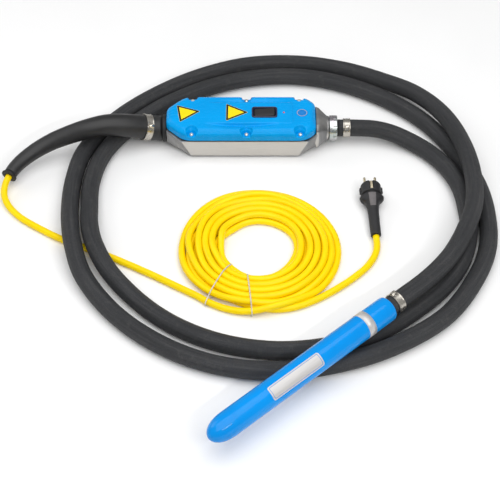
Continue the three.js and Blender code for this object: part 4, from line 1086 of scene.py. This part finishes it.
def ring_body(name, rings, look, stands_for):
    """A closed band over rings of equal count, the last joined to the first, in millimetres."""
    count, total = len(rings[0]), len(rings)
    faces = grid_faces(total, count).tolist()
    last = (total - 1) * count
    faces += [(last + k, last + (k + 1) % count, (k + 1) % count, k) for k in range(count)]
    made = piece(name, np.vstack(rings) * MM, faces, look, stands_for)
    outward(made.data)
    return crisp(made, 40)


shell()
lid = cover()
lid_faces = [face.vertices[:] for face in lid.data.polygons]
LID = BVHTree.FromPolygons([vertex.co[:] for vertex in lid.data.vertices], lid_faces)
gasket()

SCREW = [(0, -21), (2, -21), (2, 0.2), (3.7, 0.2), (4, 0.6), (4, 1.9), (3.3, 2.9), (1.9, 3.3), (1.55, 3.2)]
SCREW += [(1.45, 1.7), (0, 1.5)]


def hexagon_in(angle, profile):
    """The socket in the head is a hexagon."""
    sector = angle % (math.pi / 3) - math.pi / 6
    flat = math.cos(math.pi / 6) / np.cos(sector)
    inside = (profile[:, :1] < 1.7 * MM) & (profile[:, 1:] > 1 * MM)
    return np.where(inside, flat[None, :] * 1.08, 1.0)


def cover_screw(name, x, y):
    place = Matrix.Translation((x * MM, y * MM, (SCREW_SEAT + 0.3) * MM))
    profile = softened(scaled(SCREW), 0.25 * MM, 3)
    crisp(turned(f"{name}_head", profile, 48, "screw_steel", [name], place, hexagon_in), 35)


for place_number, screw_x in enumerate(SCREW_X, 1):
    cover_screw(f"cover_screw_near_{place_number}", screw_x, -SCREW_Y)
    cover_screw(f"cover_screw_far_{place_number}", screw_x, SCREW_Y)


# ---------------- switch, lamp and labels
def frame_ring(length, width, corner, z):
    return at_height(rounded_rectangle(length, width, corner) + (SWITCH_X, 0), z)


def switch():
    sections = (  # margin round the switch, corner, height
        (2, 5.0, 69.4), (2.6, 5.2, 70.4), (2.0, 5.0, 71.2), (0.6, 4.6, 71.9), (-2.2, 3.6, 72.1),
        (-4.0, 3.0, 71.3), (-4.6, 2.8, 70.0), (-4.6, 2.8, 61.0), (-5.2, 2.6, 61.0),
    )
    rings = [frame_ring(SWITCH_LENGTH + m, SWITCH_WIDTH + m, corner, z) for m, corner, z in sections]
    ring_body("switch_frame", rings, "bezel_plastic", ["switch_bezel"])
    rocker()


ROCKER_AT_REST = -4  # degrees about +Y


def rocker():
    """The soft cap over the rocker: a cushioned pad, dished along its middle."""
    length, width, steps = 38.4, 21.0, 7
    levels = [(0, 63.5), (0, 69.6), *[(k, None) for k in range(1, steps + 1)]]
    rings = []
    for k, z in levels:
        a = k / steps * math.pi / 2
        inset = 3.0 * (1 - math.cos(a))
        outline = rounded_rectangle(length - 2 * inset, width - 2 * inset, max(3.6 - inset, 0.8))
        height = z if z is not None else 69.6 + 2.2 * math.sin(a)
        rings.append(at_height(outline, height))
    top = rings[-1]
    for share in (0.85, 0.7, 0.55, 0.4, 0.25, 0.1):
        ring = top.copy()
        ring[:, :2] *= share
        ring[:, 2] += 0.25 * (1 - share) + 0.9 * np.abs(ring[:, 0] / (length / 2)) ** 1.4 * share
        rings.append(ring)
    mesh = lofted(rings)
    mesh.transform(Matrix.Translation((SWITCH_X, 0, 0)))
    turn = Matrix.Rotation(math.radians(ROCKER_AT_REST), 4, "Y")
    hinge = Matrix.Translation((SWITCH_X, 0, PIVOT_HEIGHT))
    mesh.transform(hinge @ turn @ hinge.inverted())
    crisp(dress("switch_cap", millimetres(mesh), "rocker_rubber", ["switch_rocker"], "rocker"), 50)


def lamp():
    lens = [(0, 65.2), (1.9, 65.2), (1.9, 69.6), (2.1, 69.8), (1.6, 70.6), (0, 70.9)]
    place = Matrix.Translation((67.5 * MM, 0, 0))
    turned("lamp_lens", softened(scaled(lens), 0.4 * MM), 32, "red_lens", ["power_lamp"], place)


FILM_RISE, FILM_SUNK = 0.32, 0.3


def cover_height(points):
    """The height of the cover at points of its plan, in millimetres."""
    heights = []
    for x, y in points:
        hit = LID.ray_cast(Vector((x, y, 100)) * MM, Vector((0, 0, -1)))
        heights.append(hit[0].z / MM if hit[0] else COVER_TOP - cover_drop(x, y))
    return np.array(heights)


def label(name, outline, look, stands_for=(), lift=0.0, rings=10):
    """A thin film that lies on the cover, filled with rings inside its outline."""
    outline = np.array(outline, float)
    centre = outline.mean(0)
    count = len(outline)
    levels = [outline, outline, *[centre + (outline - centre) * (1 - k / rings) for k in range(1, rings)]]
    vertices = []
    for k, ring in enumerate(levels):
        rise = -FILM_SUNK if k == 0 else FILM_RISE + lift
        vertices.append(np.c_[ring, cover_height(ring) + rise])
    middle_z = cover_height([centre])[0] + FILM_RISE + lift
    points = np.vstack([*vertices, [[*centre, middle_z]]])
    faces = grid_faces(len(levels), count).tolist()
    start = (len(levels) - 1) * count
    faces += [(start + k, start + (k + 1) % count, len(points) - 1) for k in range(count)]
    faces.append(tuple(range(count))[::-1])
    made = piece(name, points * MM, faces, look, stands_for)
    outward(made.data)
    return crisp(made, 40)


def triangle(centre, side, degrees, corner, steps=5):
    """A rounded triangle that points along its own +X, turned by an angle."""
    tips = [np.array((math.cos(a), math.sin(a))) * side / math.sqrt(3) for a in (0, 2.0944, 4.18879)]
    outline = softened([*tips, tips[0]], corner, steps)[:-1]
    turn = math.radians(degrees)
    spin = np.array(((math.cos(turn), -math.sin(turn)), (math.sin(turn), math.cos(turn))))
    return [spin @ p + centre for p in densely(outline)]


def densely(outline, step=1.6):
    out = []
    for a, b in zip(outline, [*outline[1:], outline[0]]):
        count = max(1, round(np.linalg.norm(b - a) / step))
        out += [a + (b - a) * k / count for k in range(count)]
    return out


def sign(number, centre, degrees):
    """A plain triangular sign: a yellow field in a black border, with nothing drawn on it."""
    layers = (
        ("plate", 47, 3, "yellow_label", [f"warning_sign_{number}"], 0.0),
        ("border", 46, 2.7, "black_ink", [], 0.04),
        ("field", 34.5, 1.4, "yellow_label", [], 0.08),
    )
    for kind, side, corner, look, stands_for, lift in layers:
        outline = triangle(centre, side, degrees, corner)
        label(f"sign_{kind}_{number}", outline, look, stands_for, lift)


def emblem():
    angle = round_angles(64)
    circle = np.c_[np.cos(angle), np.sin(angle)]
    discs = (
        (10.5, "blue_ink", ["emblem_disc"]),
        (9.4, "foil_label", []),
        (8.4, "blue_ink", []),
    )
    for k, (radius, look, stands_for) in enumerate(discs):
        label(f"emblem_layer_{k + 1}", circle * radius + (101, 0), look, stands_for, 0.04 * k)


switch()
lamp()
sign(1, (-115, 0), 9)
sign(2, (-26, 0), 0)
emblem()


# ---------------- ties of the coil
def hull_round(points):
    """The convex hull of points in a plane, anticlockwise."""
    points = sorted(map(tuple, points))
    halves = []
    for run in (points, points[::-1]):
        chain = []
        for p in run:
            while len(chain) > 1:
                (ax, ay), (bx, by) = chain[-2], chain[-1]
                if (bx - ax) * (p[1] - ay) - (by - ay) * (p[0] - ax) > 0:
                    break
                chain.pop()
            chain.append(p)
        halves += chain[:-1]
    return np.array(halves)


def crossings(degrees):
    """Where the turns of the coil cross the upright plane at an angle: radius and height of each."""
    local = coil - np.array([COIL_CENTRE.x, COIL_CENTRE.y, 0])
    turn = math.radians(degrees)
    across = -local[:, 0] * math.sin(turn) + local[:, 1] * math.cos(turn)
    ahead = local[:, 0] * math.cos(turn) + local[:, 1] * math.sin(turn)
    at = np.nonzero((across[:-1] * across[1:] <= 0) & (ahead[:-1] > 0))[0]
    share = across[at] / (across[at] - across[at + 1])
    place = local[at] + (local[at + 1] - local[at]) * share[:, None]
    return np.c_[np.hypot(place[:, 0], place[:, 1]), place[:, 2]]


TIE_RADIUS = 1.05 * MM


def tie(number, degrees):
    """A thin cord round the bundle."""
    angle = round_angles(24)
    circle = np.c_[np.cos(angle), np.sin(angle)] * (CABLE_RADIUS + TIE_RADIUS)
    around = hull_round(np.vstack([c + circle for c in crossings(degrees)]))
    around[:, 1] = np.maximum(around[:, 1], TIE_RADIUS)
    loop = np.c_[around, np.zeros(len(around))]
    loop = spaced(np.vstack([loop, loop[:1]]), 0.0025)
    out = np.array((math.cos(math.radians(degrees)), math.sin(math.radians(degrees)), 0))
    aside = np.array((-out[1], out[0], 0))
    slant = 0.24 * (loop[:, 0] - loop[:, 0].mean())
    base = np.array((COIL_CENTRE.x, COIL_CENTRE.y, 0))
    line = base + loop[:, :1] * out + loop[:, 1:2] * (0, 0, 1) + slant[:, None] * aside
    return swept(f"tie_{number}", line, TIE_RADIUS, 10, "tie_white", [f"coil_tie_{number}"])


ties = [tie(1, 230), tie(2, 262)]


# ---------------- plug
PIN_GAP = 19  # between the axes of the two pins
plug_place = place_at(np.array(PLUG_END) * MM, PLUG_AIM)
BOOT = [(0, 0.3), (8.0, 0.3), (9.2, 1.2), (9.3, 4), (9.4, 12), (9.5, 30), (9.8, 48), (10.4, 58)]
BOOT += [(11.6, 66), (13.4, 73), (15.2, 79), (16.2, 84), (16.4, 88), (14.6, 90.2), (15.4, 91)]
BOOT += [(18.3, 91.6), (18.5, 93), (18.5, 111.2), (17.0, 114), (0, 114)]


def finer(profile, step):
    """The profile with points added along its long stretches."""
    out = [profile[0]]
    for a, b in zip(profile, profile[1:]):
        count = max(1, math.ceil(math.dist(a, b) / step))
        out += [tuple(np.array(a) + (np.array(b) - a) * k / count) for k in range(1, count + 1)]
    return out


def plug_shape(angle, profile):
    """Two rounded wings at the sides behind the face, and the grooves of the earth contacts in it."""
    z = profile[:, 1:] / MM
    a = angle[None, :]
    wing = np.exp(-(((z - 82) / 7.2) ** 4))
    sideways = np.abs(np.cos(a)) ** 5
    flat = np.abs(np.sin(a)) ** 2
    reach = 1 + wing * (0.36 * sideways - 0.10 * flat)
    face = (profile[:, :1] > 12 * MM) * smooth_step(z, 94.5, 95.5)
    off = np.abs(a % math.pi - math.pi / 2)
    groove = (1 - smooth_step(off, 0.17, 0.21)) * face
    rib = (1 - smooth_step(math.pi / 2 - off, 0.13, 0.18)) * face * (1 - smooth_step(z, 106, 108))
    return reach - 0.17 * groove + 0.13 * rib


def plug():
    profile = [(r * MM, z * MM) for r, z in finer(softened(BOOT, 1.0, 3), 1.2)]
    nodes = ["plug_body"]
    body = turned("plug_moulding", profile, 144, "plug_rubber", nodes, plug_place, plug_shape)
    crisp(body, 38)
    parts = [body]
    pin = softened(scaled([(0, 101), (2.35, 101), (2.35, 131.6), (1.5, 133), (0, 133)]), 0.6 * MM)
    for k, side in enumerate((-1, 1)):
        shift = Matrix.Translation((side * PIN_GAP / 2 * MM, 0, 0))
        place = plug_place @ shift
        parts.append(turned(f"contact_pin_{k + 1}", pin, 32, "brass", [f"plug_pin_{k + 1}"], place))
        strip = pillow(17, 4.6, 0.6, 0, 1.4, 0.4, (0, 0))
        lay = Matrix.Translation((0, side * 15.0, 104.5)) @ Matrix.Rotation(-side * math.pi / 2, 4, "X")
        strip.transform(lay @ Matrix.Rotation(math.pi / 2, 4, "Z"))
        strip.transform(Matrix.Scale(MM, 4))
        strip.transform(plug_place)
        clip = dress(f"earth_strip_{k + 1}", strip, "brass", [f"earth_clip_{k + 1}"])
        parts.append(crisp(clip, 35))
    parts.append(boot_sheen_patch())
    return parts


def boot_sheen_patch():
    """A thin lighter sheet that widens along the top of the boot towards the face: a painted sheen on the
    boot's flat top.
    """
    profile = np.array(softened(BOOT, 1.0, 3))
    outer = profile[(profile[:, 0] > 5)]
    rows, columns = 16, 9
    points = []
    for z in np.linspace(60, 89.5, rows):
        radius = np.interp(z, outer[:, 1], outer[:, 0])
        half = 6.2 + 3.4 * (z - 60) / 29.5
        for share in np.linspace(-1, 1, columns):
            a = math.pi / 2 + share * half / radius
            shape = plug_shape(np.array([a]), np.array([[radius * MM, z * MM]]))[0, 0]
            lift = 0.35 - 0.75 * max(abs(share) ** 6, smooth_step(abs(z - 74.75), 13.5, 14.8))
            reach = radius * shape + lift
            points.append((reach * math.cos(a), reach * math.sin(a), z))
    faces = grid_faces(rows, columns, False)
    made = piece("boot_painted_sheen", np.array(points) * MM, faces, "painted_sheen_rubber", place=plug_place)
    solid = made.modifiers.new("thickness", "SOLIDIFY")
    solid.thickness, solid.offset = 0.0004, -1
    outward(made.data, WELD)
    return made


plug_parts = plug()


# ---------------- poker head
HEAD_RADIUS, HEAD_LENGTH, NOSE_SEAM = 21.5, 382, 336
PLATE_MIDDLE, PLATE_DEGREES = 214, 56  # along the tube from its rear, and round it from level
HEAD_REAR, HEAD_AIM = (0.2295, -0.457, 0.0553), (-0.751264, -0.660002, 0)
head_place = place_at(HEAD_REAR, HEAD_AIM)


def head_shell():
    tube = [(16.5, 0), (18.6, 0), (20.6, 1.4), (21.5, 4), (21.5, 60), (21.5, 160), (21.5, 300)]
    tube += [(21.5, 335.9), (16.5, 335.9), (16.5, 0)]
    profile = [(r * MM, z * MM) for r, z in finer(tube, 12)]
    crisp(turned("poker_tube", profile, 112, "blue_paint", ["head_tube"], head_place), 40)
    arch = HEAD_LENGTH - NOSE_SEAM - 8
    share = np.concatenate([np.linspace(0, 0.9, 26)[1:], 1 - 0.1 * np.linspace(1, 0, 14)[1:] ** 2])
    curve = HEAD_RADIUS * np.sqrt(np.maximum(1 - share**2.4, 0)) * (1 - 0.06 * share)
    nose = [(16.2, 322), (16.2, 336), (21.5, 336), (21.5, 344)]
    nose = [(0, 322), *nose, *zip(curve, NOSE_SEAM + 8 + arch * share)]
    crisp(turned("poker_nose", scaled(nose), 112, "blue_paint", ["head_nose"], head_place), 40)


def head_band():
    band = [(21.45, 47), (21.85, 47.1), (21.85, 61.9), (21.45, 62), (21.4, 54), (21.45, 47)]
    turned("marking_band", scaled(band), 112, "foil_label", ["head_band"], head_place)


def on_tube(name, length, arc, corner, lift, look, stands_for=(), hollow=None):
    """A rounded plate bent round the tube, or only its rim where it is hollow."""
    outline = np.array(densely(rounded_rectangle(length, arc, corner, 8), 1.5))
    shares = np.linspace(1, 0, 14)[:-1] if hollow is None else np.array([1.0])
    rings = [(outline, 0.02), *[(outline * s, lift) for s in shares]]
    if hollow is not None:
        shrink = np.array(((length - 2 * hollow) / length, (arc - 2 * hollow) / arc))
        rings += [(outline * shrink, lift), (outline * shrink, 0.02)]
    points = []
    for ring, rise in rings:
        a = math.radians(PLATE_DEGREES) + ring[:, 1] / HEAD_RADIUS
        r = HEAD_RADIUS + rise
        points.append(np.c_[r * np.cos(a), r * np.sin(a), PLATE_MIDDLE + ring[:, 0]])
    count = len(outline)
    vertices = np.vstack(points)
    faces = grid_faces(len(rings), count).tolist()
    if hollow is None:
        start_at = (len(rings) - 1) * count
        faces.append(tuple(start_at + k for k in range(count)))
    crisp(piece(name, vertices * MM, faces, look, stands_for, place=head_place), 40)


head_shell()
head_band()
on_tube("rating_plate", 106, 24, 4, 0.42, "foil_label", ["head_plate"])
on_tube("rating_plate_line", 101, 19.6, 3, 0.46, "blue_ink", [], 0.7)
head_clamp_place = place_on(hose_line, hose_length - SET_BACK)
head_clamp = band_clamp("head_clamp", "head_hose_clamp", head_clamp_place, HOSE_RADIUS, 115)


# ---------------- finishes of the CAD nodes that stay
NODE_LOOKS = {
    "board_green": ["circuit_board"],
    "black_plastic": ["capacitor_1", "capacitor_2", "power_module", "terminal_block", "switch_body"],
    "copper": ["choke_ring", "stator_winding_rear", "stator_winding_front"],
    "brass": ["cable_gland"],
    "seal_rubber": ["rear_seal", "nose_seal"],
}
SHOWN = {node: look for look, nodes in NODE_LOOKS.items() for node in nodes}
REPLACED = {node for obj in bpy.data.objects for node in obj.get("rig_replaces", [])}
for node_name, node_object in frame["nodes"].items():
    if node_name in REPLACED:
        continue
    finish = SHOWN.get(node_name, "machined_steel")
    node_object.data.materials.clear()
    node_object.data.materials.append(looks[finish])


# ---------------- studio
def studio_floor():
    g = Graph("studio_floor")
    cloud = g.noise(3, 3)
    tones = (0.3, (0.90, 0.90, 0.90)), (0.7, (0.93, 0.93, 0.93))
    g.set(colour=g.ramp(cloud, *tones), rough=0.8, specular=0.1)
    mesh = bpy.data.meshes.new("floor")
    mesh.from_pydata([(-6, -6, 0), (6, -6, 0), (6, 6, 0), (-6, 6, 0)], [], [(0, 1, 2, 3)])
    mesh.materials.append(g.material)
    in_scene("floor", mesh)


def softbox(name, place, aim_at, size, power, shape=1.0):
    data = bpy.data.lights.new(name, "AREA")
    data.shape, data.size, data.size_y, data.energy = "RECTANGLE", size, size * shape, power
    obj = in_scene(name, data)
    obj.location = place
    obj.rotation_euler = (Vector(aim_at) - Vector(place)).to_track_quat("-Z", "Y").to_euler()


studio_floor()
WORLD_STRENGTH = 0.34
world = bpy.data.worlds.new("studio")
world.use_nodes = True
background = world.node_tree.nodes["Background"].inputs
background["Color"].default_value = (1, 1, 1, 1)
background["Strength"].default_value = WORLD_STRENGTH
bpy.context.scene.world = world
softbox("overhead", (0.1, -0.75, 2.7), (0, -0.3, 0), 3.4, 74)
softbox("side", (-2.4, 0.9, 1.6), (0, -0.2, 0), 1.6, 16)
softbox("strip", (1.1, -1.9, 1.75), (0.1, -0.5, 0), 1.5, 13, 0.022)
